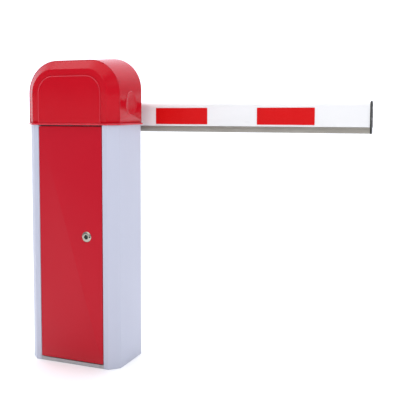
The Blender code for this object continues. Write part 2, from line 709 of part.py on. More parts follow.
def boom_bracket():
    """Front clamp plate on the hub and rear clamp plate, with the boom between them."""
    outline = rounded((-0.083, 0.088), (BOOM_Z - 0.072, BOOM_Z + 0.072), 0.012, 4)
    for name, y in (("boom_bracket", (0.1500, BOOM_Y[0] - GAP)), ("boom_clamp", (BOOM_Y[1] + GAP, 0.2165))):
        holes = [rod_along("y", spot, 0.0055, 0.13, 0.23, 16) for spot in bolt_spots()]
        add(name, merged(prism(outline, y[0], y[1], "xz"), cuts=holes), "zinc_steel", (0.0, 0.0, SHAFT_Z))


def clamp_bolts():
    for number, spot in enumerate(bolt_spots(), 1):
        shank = rod_along("y", spot, 0.0050, 0.1445, 0.2225, 12)
        head = prism(circle(*spot, 0.0095, 6), 0.2168, 0.2232, "xz")
        nut = prism(circle(*spot, 0.0095, 6), 0.1430, 0.1497, "xz")
        add(f"clamp_bolt_{number}", merged(shank, adds=[head, nut]), "bright_steel", (0.0, 0.0, SHAFT_Z))


def profile_outline(inset):
    """Section of the boom: round top edges, flat sides, a small bead low on each side."""
    y = (BOOM_Y[0] + inset, BOOM_Y[1] - inset)
    z = (BOOM_Z - BOOM_H / 2 + inset, BOOM_Z + BOOM_H / 2 - inset)
    r = 0.016 - inset
    points = [(y[0], z[0]), (y[1], z[0])]
    for i in range(7):
        angle = i * math.pi / 12
        points.append((y[1] - r + r * math.cos(angle), z[1] - r + r * math.sin(angle)))
    for i in range(7):
        angle = math.pi / 2 + i * math.pi / 12
        points.append((y[0] + r + r * math.cos(angle), z[1] - r + r * math.sin(angle)))
    return points


def boom():
    """Hollow profile, rubber strip, end cap and four reflective bands."""
    pivot = (0.0, 0.0, SHAFT_Z)
    skin = prism(profile_outline(0.0), BOOM_X[0], BOOM_X[1], "yz")
    hollow = prism(profile_outline(BOOM_WALL), BOOM_X[0] - 0.01, BOOM_X[1] + 0.01, "yz")
    add("boom_profile", merged(skin, cuts=[hollow]), "white_profile", pivot)
    mid = (BOOM_Y[0] + BOOM_Y[1]) / 2
    strip = [
        (mid - 0.0205, RUBBER_Z[1]), (mid + 0.0205, RUBBER_Z[1]), (mid + 0.0205, RUBBER_Z[0] + 0.008),
        (mid + 0.012, RUBBER_Z[0]), (mid - 0.012, RUBBER_Z[0]), (mid - 0.0205, RUBBER_Z[0] + 0.008),
    ]
    add("boom_rubber", prism(strip, 0.096, BOOM_X[1], "yz"), "grey_rubber", pivot)
    cap = prism(profile_outline(-0.0015), CAP_X[0], CAP_X[1], "yz")
    foot = block(CAP_X, (mid - 0.019, mid + 0.019), (RUBBER_Z[0] - 0.001, RUBBER_Z[1] + 0.002))
    add("boom_cap", merged(cap, adds=[foot]), "cap_grey", pivot)
    for number, x in enumerate(BAND_X, 1):
        for side, y in (("front", BOOM_Y[0] - GAP), ("back", BOOM_Y[1] + GAP + 0.0005)):
            band = block(x, (y - 0.0005, y), (BOOM_Z - 0.034, BOOM_Z + 0.021))
            add(f"band_{side}_{number}", band, "red_film", pivot)


def boom_plug():
    """Plug in the boom's short end."""
    plate = prism(profile_outline(0.0), BOOM_X[0] - 0.0043, BOOM_X[0] - GAP, "yz")
    add("boom_plug", plate, "cap_grey", (0.0, 0.0, SHAFT_Z))


def main():
    clear_scene()
    base_plate()
    anchors()
    cabinet_shell()
    door()
    door_pins()
    door_lock()
    hood()
    hood_catches()
    mech_deck()
    bearing("bearing_front", (-0.018, 0.002))
    bearing("bearing_rear", (0.058, 0.074))
    main_shaft()
    main_lever()
    crank_arm()
    connecting_rod()
    gearbox()
    motor()
    handwheel()
    spring_link()
    spring_yoke()
    springs()
    spring_hanger()
    spring_screws()
    stop_arm()
    stop_brackets()
    stop_buffers()
    limit_cam()
    limit_switches()
    control_box()
    capacitor()
    terminal_strip()
    boom_hub()
    boom_bracket()
    clamp_bolts()
    boom()
    boom_plug()


main()
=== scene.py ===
"""Looks of the automatic boom barrier: finishes, fine shapes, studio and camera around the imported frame."""

import logging
import math
from collections.abc import Iterable, Sequence
from dataclasses import dataclass, field
from enum import Enum

import bmesh
import bpy
from mathutils import Matrix, Vector
from mathutils.geometry import interpolate_bezier


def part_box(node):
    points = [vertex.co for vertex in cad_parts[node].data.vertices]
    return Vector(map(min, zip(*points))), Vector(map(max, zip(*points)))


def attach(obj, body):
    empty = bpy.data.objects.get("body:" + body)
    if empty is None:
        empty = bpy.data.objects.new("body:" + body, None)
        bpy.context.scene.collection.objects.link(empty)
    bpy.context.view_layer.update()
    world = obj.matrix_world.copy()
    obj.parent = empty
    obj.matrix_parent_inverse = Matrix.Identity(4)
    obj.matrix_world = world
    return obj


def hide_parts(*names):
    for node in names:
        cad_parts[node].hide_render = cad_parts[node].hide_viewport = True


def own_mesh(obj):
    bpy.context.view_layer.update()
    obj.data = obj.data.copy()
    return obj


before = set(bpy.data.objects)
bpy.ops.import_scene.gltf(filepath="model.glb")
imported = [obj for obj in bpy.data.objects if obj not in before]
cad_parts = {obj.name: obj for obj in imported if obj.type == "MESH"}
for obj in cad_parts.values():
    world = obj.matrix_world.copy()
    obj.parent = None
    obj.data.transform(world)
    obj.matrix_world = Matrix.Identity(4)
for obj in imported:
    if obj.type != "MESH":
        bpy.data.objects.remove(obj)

LOG = logging.getLogger("boom_barrier")
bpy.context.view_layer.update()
MM = 0.001
GAP = 0.3 * MM

# The drive's centres and reaches, which several sub-assemblies share.
SHAFT_Z = 820 * MM
OUTPUT_Z = 655 * MM
CRANK_REACH = 60 * MM
CRANK_ANGLE = -45.0
LINK_REACH = 55 * MM
LINK_ANGLE = 135.0
PIN_END_Y = -56.6 * MM
EYE_FACE_Y = -53 * MM

Flat = tuple[float, float]
Point = Sequence[float]


class Plane(Enum):
    """Plane that an outline is drawn in; it is stretched along the third axis."""

    PLAN = "xy"
    FRONT = "xz"
    SIDE = "yz"

    def lay(self, outline: Iterable[Flat], across: float) -> list[tuple[float, float, float]]:
        """Sets a flat outline in space, at a place along the third axis.

        Args:
            outline: the flat points.
            across: their place along the third axis.

        Returns:
            The points in space.
        """
        if self is Plane.PLAN:
            return [(a, b, across) for a, b in outline]
        if self is Plane.FRONT:
            return [(a, across, b) for a, b in outline]
        return [(across, a, b) for a, b in outline]


# ---------------------------------------------------------------- finishes


def linear(code: str) -> tuple[float, float, float, float]:
    """Turns an sRGB hex colour into linear light.

    Args:
        code: six hex digits.

    Returns:
        Red, green, blue and a full alpha.
    """
    parts = [int(code[i : i + 2], 16) / 255 for i in (0, 2, 4)]
    light = [p / 12.92 if p <= 0.04045 else ((p + 0.055) / 1.055) ** 2.4 for p in parts]
    return (light[0], light[1], light[2], 1.0)


def add_node(
    tree: bpy.types.NodeTree, kind: str, inputs: dict[str | int, object] | None = None, **settings: object
) -> bpy.types.Node:
    """Adds a node with its settings and links.

    Args:
        tree: the node tree it goes into.
        kind: the node's type name without its ShaderNode prefix.
        inputs: what feeds each input, an output socket or a plain value.
        settings: the node's own attributes.

    Returns:
        The new node.
    """
    made = tree.nodes.new(f"ShaderNode{kind}")
    for name, value in settings.items():
        setattr(made, name, value)
    for name, value in (inputs or {}).items():
        if isinstance(value, bpy.types.NodeSocket):
            tree.links.new(value, made.inputs[name])
        else:
            made.inputs[name].default_value = value
    return made


class Surface:
    """A material under construction: its tree, its shader and the pattern coordinates."""

    def __init__(self, name: str, colour: str, roughness: float, metallic: float = 0.0) -> None:
        """Starts a Principled material with plain values on its sockets.

        Args:
            name: the material's name.
            colour: sRGB hex colour.
            roughness: even roughness before any pattern.
            metallic: 1 for bare metal.
        """
        self.material = bpy.data.materials.new(name)
        self.material.use_nodes = True
        self.tree = self.material.node_tree
        self.shader = self.tree.nodes["Principled BSDF"]
        self.colour = linear(colour)
        self.shader.inputs["Base Color"].default_value = self.colour
        self.shader.inputs["Roughness"].default_value = roughness
        self.shader.inputs["Metallic"].default_value = metallic
        self.place = add_node(self.tree, "TexCoord").outputs["Object"]

    def set(self, **values: float) -> "Surface":
        """Sets shader sockets; underscores stand for the spaces in their names.

        Args:
            values: each socket and its value.

        Returns:
            The surface itself, so that calls can follow one another.
        """
        for name, value in values.items():
            self.shader.inputs[name.replace("_", " ")].default_value = value
        return self

    def grain(self, period: float, stretch: Point = (1, 1, 1), detail: float = 2.0) -> bpy.types.NodeSocket:
        """Noise of a real period in metres, drawn out along the axes.

        Args:
            period: distance between bumps, in metres.
            stretch: how many times longer the bumps are along each axis.
            detail: octaves of the noise.

        Returns:
            The noise's value, from 0 to 1.
        """
        size = [1 / (period * s) for s in stretch]
        spots = add_node(self.tree, "Mapping", {"Vector": self.place, "Scale": size}).outputs[0]
        inputs = {"Vector": spots, "Scale": 1.0, "Detail": detail}
        return add_node(self.tree, "TexNoise", inputs).outputs["Fac"]

    def cells(self, period: float, feature: str = "F1") -> bpy.types.NodeSocket:
        """Cell pattern of a real period in metres, as a distance.

        Args:
            period: distance between cells, in metres.
            feature: which distance the pattern gives.

        Returns:
            The distance from the cell centre or edge.
        """
        spots = add_node(self.tree, "Mapping", {"Vector": self.place, "Scale": [1 / period] * 3}).outputs[0]
        made = add_node(self.tree, "TexVoronoi", {"Vector": spots, "Scale": 1.0}, feature=feature)
        return made.outputs["Distance"]

    def remap(
        self, value: bpy.types.NodeSocket, low: float, high: float, between: Flat = (0.2, 0.8)
    ) -> bpy.types.NodeSocket:
        """Spreads a pattern's useful range over low to high."""
        inputs = {"Value": value, 1: between[0], 2: between[1], 3: low, 4: high}
        return add_node(self.tree, "MapRange", inputs).outputs[0]

    def tint(self, value: bpy.types.NodeSocket, other: str) -> "Surface":
        """Mixes the base colour towards another one by a pattern.

        Args:
            value: the pattern, 0 to 1.
            other: sRGB hex colour that it mixes in.

        Returns:
            The surface itself, so that calls can follow one another.
        """
        mix = add_node(self.tree, "Mix", data_type="RGBA")
        self.tree.links.new(value, mix.inputs["Factor"])
        source = self.shader.inputs["Base Color"]
        if source.is_linked:
            self.tree.links.new(source.links[0].from_socket, mix.inputs["A"])
        else:
            mix.inputs["A"].default_value = self.colour
        mix.inputs["B"].default_value = linear(other)
        self.tree.links.new(mix.outputs["Result"], source)
        return self

    def polish(self, value: bpy.types.NodeSocket) -> "Surface":
        """Feeds the roughness from a pattern."""
        self.tree.links.new(value, self.shader.inputs["Roughness"])
        return self

    def relief(self, value: bpy.types.NodeSocket, depth: float, strength: float = 1.0) -> "Surface":
        """Raises a pattern as bumps of a real depth in metres.

        Args:
            value: the pattern, 0 to 1.
            depth: height of its bumps, in metres.
            strength: how much of the bump shows.

        Returns:
            The surface itself, so that calls can follow one another.
        """
        bump = add_node(self.tree, "Bump", {"Strength": strength, "Distance": depth, "Height": value})
        source = self.shader.inputs["Normal"]
        if source.is_linked:
            self.tree.links.new(source.links[0].from_socket, bump.inputs["Normal"])
        self.tree.links.new(bump.outputs["Normal"], source)
        return self


@dataclass(frozen=True)
class Finish:
    """One finish of the barrier: what it is made of and how its surface was made."""

    name: str
    colour: str
    roughness: float
    slot: str

    def dress(self) -> bpy.types.Material:
        """The finish's material, made once and shared by its pieces."""
        found = bpy.data.materials.get(self.name)
        return found or self.make().material

    def make(self) -> Surface:
        """Builds the material; each kind of finish adds its own surface."""
        return Surface(self.name, self.colour, self.roughness)


@dataclass(frozen=True)
class PowderCoat(Finish):
    """Stoved polyester powder on sheet steel: an even satin-gloss skin, a little uneven in tone."""

    shade: str = "808080"

    def make(self) -> Surface:
        """Adds faint orange peel 5 mm apart, slow drifts of tone and gloss, and dust near the foot.

        Returns:
            The surface with this finish's pattern.
        """
        skin = super().make().set(IOR=1.5, Specular_IOR_Level=0.22)
        skin.relief(skin.grain(5 * MM, detail=0.0), 0.01 * MM, 0.2)
        skin.polish(skin.remap(skin.grain(150 * MM, detail=0.0), self.roughness * 0.9, self.roughness * 1.1))
        skin.tint(skin.remap(skin.grain(200 * MM, detail=0.0), 0.0, 0.12), self.shade)
        height = add_node(skin.tree, "SeparateXYZ", {0: skin.place}).outputs["Z"]
        return skin.tint(skin.remap(height, 0.05, 0.0, (0.0, 0.06)), "8A857C")


@dataclass(frozen=True)
class Moulding(Finish):
    """Injection-moulded plastic: even colour with a spark-eroded grain, or a polished gloss face."""

    grain_mm: float = 0.6
    depth_mm: float = 0.015
    shade: str = "808080"
    level: float = 0.4

    def make(self) -> Surface:
        """Adds the mould's grain, slow gloss drift and a faint flow tint.

        Returns:
            The surface with this finish's pattern.
        """
        skin = super().make().set(IOR=1.5, Specular_IOR_Level=self.level)
        skin.relief(skin.grain(self.grain_mm * MM, detail=0.0), self.depth_mm * MM, 0.5)
        skin.polish(skin.remap(skin.grain(120 * MM, detail=0.0), self.roughness * 0.9, self.roughness * 1.1))
        return skin.tint(skin.remap(skin.grain(150 * MM, detail=0.0), 0.0, 0.12), self.shade)


@dataclass(frozen=True)
class ZincPlate(Finish):
    """Bright zinc plate over rolled steel: cool grey with a faint crystal mottle and yellowish patches."""

    def make(self) -> Surface:
        """Adds 7 mm spangle, rolling marks 0.5 mm apart and passivation tint.

        Returns:
            The surface with this finish's pattern.
        """
        skin = super().make().set(Metallic=1.0)
        skin.tint(skin.remap(skin.cells(7 * MM), 0.0, 0.35, (0.1, 0.8)), "9FA4AA")
        skin.tint(skin.remap(skin.grain(35 * MM), 0.0, 0.22), "C2B98F")
        skin.relief(skin.grain(0.5 * MM, (12, 1, 1)), 0.01 * MM, 0.5)
        return skin.polish(skin.remap(skin.grain(14 * MM), self.roughness * 0.8, self.roughness * 1.35))


@dataclass(frozen=True)
class GroundSteel(Finish):
    """Turned and ground steel: bright, with fine rings and a thin film of oil."""

    def make(self) -> Surface:
        """Adds grinding marks 0.4 mm apart and an oil film that drifts in gloss.

        Returns:
            The surface with this finish's pattern.
        """
        skin = super().make().set(Metallic=1.0, Anisotropic=0.4)
        skin.relief(skin.grain(0.4 * MM, (1, 8, 1)), 0.006 * MM, 0.6)
        skin.tint(skin.remap(skin.grain(18 * MM), 0.0, 0.3), "8E8A80")
        return skin.polish(skin.remap(skin.grain(10 * MM), self.roughness * 0.7, self.roughness * 1.5))


@dataclass(frozen=True)
class SpringWire(Finish):
    """Oil-tempered spring wire: blue-black with browner rubbed patches."""

    def make(self) -> Surface:
        """Adds drawing marks and oil stains.

        Returns:
            The surface with this finish's pattern.
        """
        skin = super().make().set(Metallic=1.0)
        skin.tint(skin.remap(skin.grain(9 * MM), 0.0, 0.5), "6B5D4C")
        skin.relief(skin.grain(0.5 * MM), 0.008 * MM, 0.5)
        return skin.polish(skin.remap(skin.grain(5 * MM), 0.28, 0.5))


@dataclass(frozen=True)
class SandCasting(Finish):
    """Sand-cast iron under machine enamel: pebbled skin, satin, darker in its pits."""

    def make(self) -> Surface:
        """Adds sand grain of 1.4 mm and enamel that pools between the grains.

        Returns:
            The surface with this finish's pattern.
        """
        skin = super().make().set(Coat_Weight=0.25, Coat_Roughness=0.25, IOR=1.5)
        sand = skin.grain(1.4 * MM, detail=3.0)
        skin.relief(sand, 0.22 * MM, 0.7)
        skin.tint(skin.remap(sand, 0.35, 0.0), "2E3134")
        return skin.polish(skin.remap(skin.grain(12 * MM), self.roughness * 0.85, self.roughness * 1.2))


@dataclass(frozen=True)
class ChromePlate(Finish):
    """Polished chrome over a turned zinc casting: mirror bright with faint wiping marks."""

    def make(self) -> Surface:
        """Adds hairlines 0.8 mm apart and a smear of haze.

        Returns:
            The surface with this finish's pattern.
        """
        skin = super().make().set(Metallic=1.0)
        skin.relief(skin.grain(0.8 * MM, (1, 1, 6)), 0.002 * MM, 0.4)
        return skin.polish(skin.remap(skin.grain(8 * MM), self.roughness * 0.6, self.roughness * 1.8))


@dataclass(frozen=True)
class Rubber(Finish):
    """Vulcanised rubber: dull, with bloom and, on an extrusion, die lines along its length."""

    lines: bool = False
    shade: str = "5A5A58"

    def make(self) -> Surface:
        """Adds die lines 1.5 mm apart along X, or a moulded grain, and pale bloom.

        Returns:
            The surface with this finish's pattern.
        """
        skin = super().make().set(IOR=1.52)
        pattern = skin.grain(1.5 * MM, (160, 1, 1)) if self.lines else skin.grain(0.7 * MM)
        skin.relief(pattern, 0.12 * MM if self.lines else 0.03 * MM, 0.6)
        skin.tint(skin.remap(pattern, 0.0, 0.35), self.shade)
        skin.tint(skin.remap(skin.grain(20 * MM, (3, 1, 1)), 0.0, 0.3), "B4AFA4" if self.lines else "4A4A48")
        return skin.polish(skin.remap(skin.grain(10 * MM), self.roughness * 0.9, self.roughness * 1.1))


@dataclass(frozen=True)
class LacqueredProfile(Finish):
    """White stoved lacquer on an aluminium extrusion: clean gloss with faint die lines along the boom."""

    def make(self) -> Surface:
        """Adds die lines 3 mm apart along X and a trace of road film.

        Returns:
            The surface with this finish's pattern.
        """
        skin = super().make().set(IOR=1.5, Specular_IOR_Level=0.4)
        skin.relief(skin.grain(3 * MM, (300, 1, 1)), 0.012 * MM, 0.4)
        skin.tint(skin.remap(skin.grain(70 * MM, (2, 1, 1)), 0.0, 0.10), "D8DADC")
        return skin.polish(skin.remap(skin.grain(50 * MM), self.roughness * 0.85, self.roughness * 1.2))


@dataclass(frozen=True)
class PrismFilm(Finish):
    """Retroreflective prism film: deep gloss red over a net of sealed cells 3 mm across."""

    def make(self) -> Surface:
        """Adds the cell net as paler lines and a clear gloss face.

        Returns:
            The surface with this finish's pattern.
        """
        skin = super().make().set(IOR=1.5, Specular_IOR_Level=0.15)
        net = skin.cells(3 * MM, "DISTANCE_TO_EDGE")
        skin.tint(skin.remap(net, 0.10, 0.0, (0.0, 0.10)), "F0574E")
        skin.relief(skin.remap(net, 0.0, 1.0, (0.0, 0.08)), 0.02 * MM, 0.5)
        return skin.polish(skin.remap(skin.grain(25 * MM), self.roughness * 0.85, self.roughness * 1.2))


@dataclass(frozen=True)
class CircuitLacquer(Finish):
    """Solder resist on a glass-fibre board: glossy green with lighter copper tracks under it."""

    def make(self) -> Surface:
        """Adds square-edged tracks on a 5 mm grid.

        Returns:
            The surface with this finish's pattern.
        """
        skin = super().make().set(Coat_Weight=0.5, Coat_Roughness=0.1, IOR=1.5)
        upright = {"Vector": skin.place, "Rotation": (math.pi / 2, 0, 0)}
        spots = add_node(skin.tree, "Mapping", upright).outputs[0]
        size = {"Vector": spots, "Scale": 90.0, "Mortar Size": 0.05}
        black, white = (0, 0, 0, 1), (1, 1, 1, 1)
        inputs = {**size, "Color1": black, "Color2": black, "Mortar": white}
        tracks = add_node(skin.tree, "TexBrick", inputs).outputs["Fac"]
        skin.tint(skin.remap(tracks, 0.0, 0.6, (0.0, 1.0)), "3F9A55")
        return skin.relief(tracks, 0.05 * MM, 0.5)


@dataclass(frozen=True)
class StudioPaper(Finish):
    """Matt white background paper: bright and even with a soft fibre."""

    def make(self) -> Surface:
        """Adds 2 mm paper fibre."""
        skin = super().make().set(Specular_IOR_Level=0.2)
        return skin.relief(skin.grain(2 * MM), 0.02 * MM, 0.2)


class Palette:
    """The barrier's finishes."""

    CABINET = PowderCoat("powder_coat_pale_lavender", "C1C4D2", 0.38, "cabinet_paint", shade="BFC2D2")
    DOOR = PowderCoat("powder_coat_signal_red", "BC0B22", 0.36, "red_paint", shade="B00A1C")
    HOOD = Moulding("moulded_asa_signal_red", "C00C1E", 0.22, "red_moulding", 3.0, 0.004, "B20B1C", 0.13)
    # EDGE: a paler, glossier red on the thin hood edges (panel ridge, crease bead, boss rings, rim bead),
    # painted as a highlight for the light those edges catch.
    EDGE = Moulding("moulded_asa_painted_highlight", "C81F30", 0.24, "red_moulding", 3.0, 0.004, "C01528", 0.45)
    ZINC = ZincPlate("zinc_plated_sheet", "B9BCC0", 0.34, "zinc_steel")
    # Bare zinc sill that reads darker than the paint beside it: partly a real zinc plinth, partly a painted
    # shade under the door leaf.
    SILL = ZincPlate("galvanised_sill_painted_shade", "B6B8BE", 0.50, "cabinet_paint")
    STEEL = GroundSteel("ground_shaft_steel", "C2C2C4", 0.24, "bright_steel")
    WIRE = SpringWire("oil_tempered_wire", "4A4B50", 0.38, "spring_steel")
    CAST = SandCasting("enamelled_casting_grey", "6E7275", 0.48, "cast_grey")
    MOTOR = SandCasting("enamelled_motor_blue", "33496B", 0.42, "motor_paint")
    # Chrome tinted dark olive-grey so that its reflection of the white floor reads mid-grey: a painted dark
    # reflection.
    CHROME = ChromePlate("chrome_painted_dark_reflection", "ADA99C", 0.26, "chrome")
    KEYWAY = Moulding("black_acetal", "16211E", 0.45, "black_plastic", 0.5, 0.01, "222426")
    BUFFER = Rubber("moulded_rubber_black", "161616", 0.72, "black_rubber")
    HEAD_SHADOW = Rubber("painted_shadow_dark_red", "571219", 0.60, "black_rubber", False, "3E0E13")
    # Dark red for the door head: a painted shadow that stands for the shade under the hood rim.
    STRIP = Rubber("extruded_rubber_stone", "88847A", 0.60, "grey_rubber", True, "86806F")
    PROFILE = LacqueredProfile("lacquered_aluminium_white", "F0F0EE", 0.30, "white_profile")
    FILM = PrismFilm("prism_film_red", "D4060A", 0.34, "red_film")
    END = Moulding("moulded_pa_graphite", "23241E", 0.50, "cap_grey", 0.8, 0.02, "2E2F28", 0.15)
    BLACK = Moulding("moulded_abs_black", "17181A", 0.42, "black_plastic", 0.7, 0.02, "232527")
    GREY = Moulding("moulded_abs_grey", "A4A8AA", 0.45, "grey_plastic", 0.7, 0.02, "94989A")
    LID = Moulding("moulded_abs_slate", "8C9093", 0.36, "lid_plastic", 0.7, 0.02, "7C8083")
    WHEEL = Moulding("moulded_pa_red", "B01C24", 0.38, "wheel_plastic", 0.7, 0.02, "961820")
    BOARD = CircuitLacquer("solder_resist_green", "0F5A2A", 0.30, "green_board")
    BLUE = Moulding("moulded_pbt_blue", "1F4F9A", 0.38, "grey_plastic", 0.6, 0.015, "1A4282")
    GREEN = Moulding("moulded_pa_green", "2C8C46", 0.42, "grey_plastic", 0.6, 0.015, "257A3C")
    YELLOW = Moulding("moulded_pa_yellow", "D9B32A", 0.42, "grey_plastic", 0.6, 0.015, "C29E22")
    LOOM = Rubber("ribbed_loom_black", "1B1B1C", 0.55, "black_plastic")
    BRASS = GroundSteel("turned_brass", "C9A24A", 0.26, "bright_steel")
    PAPER = StudioPaper("studio_paper", "FFFFFF", 0.9, "cabinet_paint")


# ---------------------------------------------------------------- shapes


def rounded(across: Flat, up: Flat, radius: float, steps: int = 6) -> list[Flat]:
    """Outline of a rectangle with rounded corners.

    Args:
        across: its limits along the first axis.
        up: its limits along the second axis.
        radius: corner radius.
        steps: arc steps for each corner.

    Returns:
        The outline, counter-clockwise from the upper right corner.
    """
    points: list[Flat] = []
    for quarter in range(4):
        cx = across[1] - radius if quarter in (0, 3) else across[0] + radius
        cy = up[1] - radius if quarter in (0, 1) else up[0] + radius
        for i in range(steps + 1):
            angle = (quarter + i / steps) * math.pi / 2
            points.append((cx + radius * math.cos(angle), cy + radius * math.sin(angle)))
    return points


def polar(centre: Flat, reach: float, degrees: float) -> Flat:
    """The point at a reach and an angle from a centre."""
    angle = math.radians(degrees)
    return (centre[0] + reach * math.cos(angle), centre[1] + reach * math.sin(angle))


def disc(radius: float, start: float, end: float, bore: float = 0) -> list[Flat]:
    """Profile of a plain disc, or of a ring where it has a bore, to be turned."""
    return [(bore, start), (radius, start), (radius, end), (bore, end)]


def mirrored(half: Sequence[Flat], middle: float = 0.0) -> list[Flat]:
    """An outline made of one half and its mirror image about a middle line."""
    return [*half, *((2 * middle - a, b) for a, b in reversed(half))]


def gland_profile(foot: float, body: float, neck: float) -> list[Flat]:
    """Profile of a cable gland 13 mm long, from its foot to its neck.

    Args:
        foot: radius of its hexagon foot.
        body: radius of its body.
        neck: radius where the cable enters.

    Returns:
        The profile as (radius, along) points.
    """
    return [
        (0, 0), (foot, 0), (foot, 5 * MM), (body, 6 * MM), (body, 11 * MM), (neck, 13 * MM), (0, 13 * MM),
    ]


def centre_of(node: str) -> tuple[float, float, float]:
    """Middle of a frame node's box."""
    low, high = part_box(node)
    return tuple((a + b) / 2 for a, b in zip(low, high))


def side_span(side: int, near: float, far: float) -> Flat:
    """Limits along X between two distances from the middle, on the left (-1) or the right (1)."""
    low, high = sorted((side * near, side * far))
    return (low, high)


def filleted(points: Sequence[Flat], radius: float, closed: bool, steps: int = 4) -> list[Flat]:
    """Rounds the corners of a flat path, as a folding press does.

    Args:
        points: the path's corners.
        radius: bend radius.
        closed: whether the path runs back to its start.
        steps: arc steps for each bend.

    Returns:
        The path with each corner as a short arc.
    """
    out: list[Flat] = []
    count = len(points)
    for i, spot in enumerate(points):
        if not closed and i in (0, count - 1):
            out.append(spot)
            continue
        here = Vector(spot)
        back = (Vector(points[i - 1]) - here).normalized()
        ahead = (Vector(points[(i + 1) % count]) - here).normalized()
        half = back.angle(ahead) / 2
        reach = radius / math.tan(half)
        start = here + back * reach
        end = here + ahead * reach
        for k in range(steps + 1):
            t = k / steps
            middle = start.lerp(here, t).lerp(here.lerp(end, t), t)
            out.append((middle.x, middle.y))
    return out


def arch(half: float, top: float, radius: float, low: float, steps: int = 14) -> list[Flat]:
    """Arch outline from the left foot, over the top, to the right foot.

    Args:
        half: half its width.
        top: height of its crown.
        radius: radius of its shoulders.
        low: height of its feet.
        steps: arc steps for each shoulder.

    Returns:
        The outline, open at the foot.
    """
    points: list[Flat] = [(-half, low)]
    for side, begin in ((-1, math.pi), (1, math.pi / 2)):
        for i in range(steps + 1):
            angle = begin - i * math.pi / 2 / steps
            across = side * (half - radius) + radius * math.cos(angle)
            points.append((across, top - radius + radius * math.sin(angle)))
    points.append((half, low))
    return points


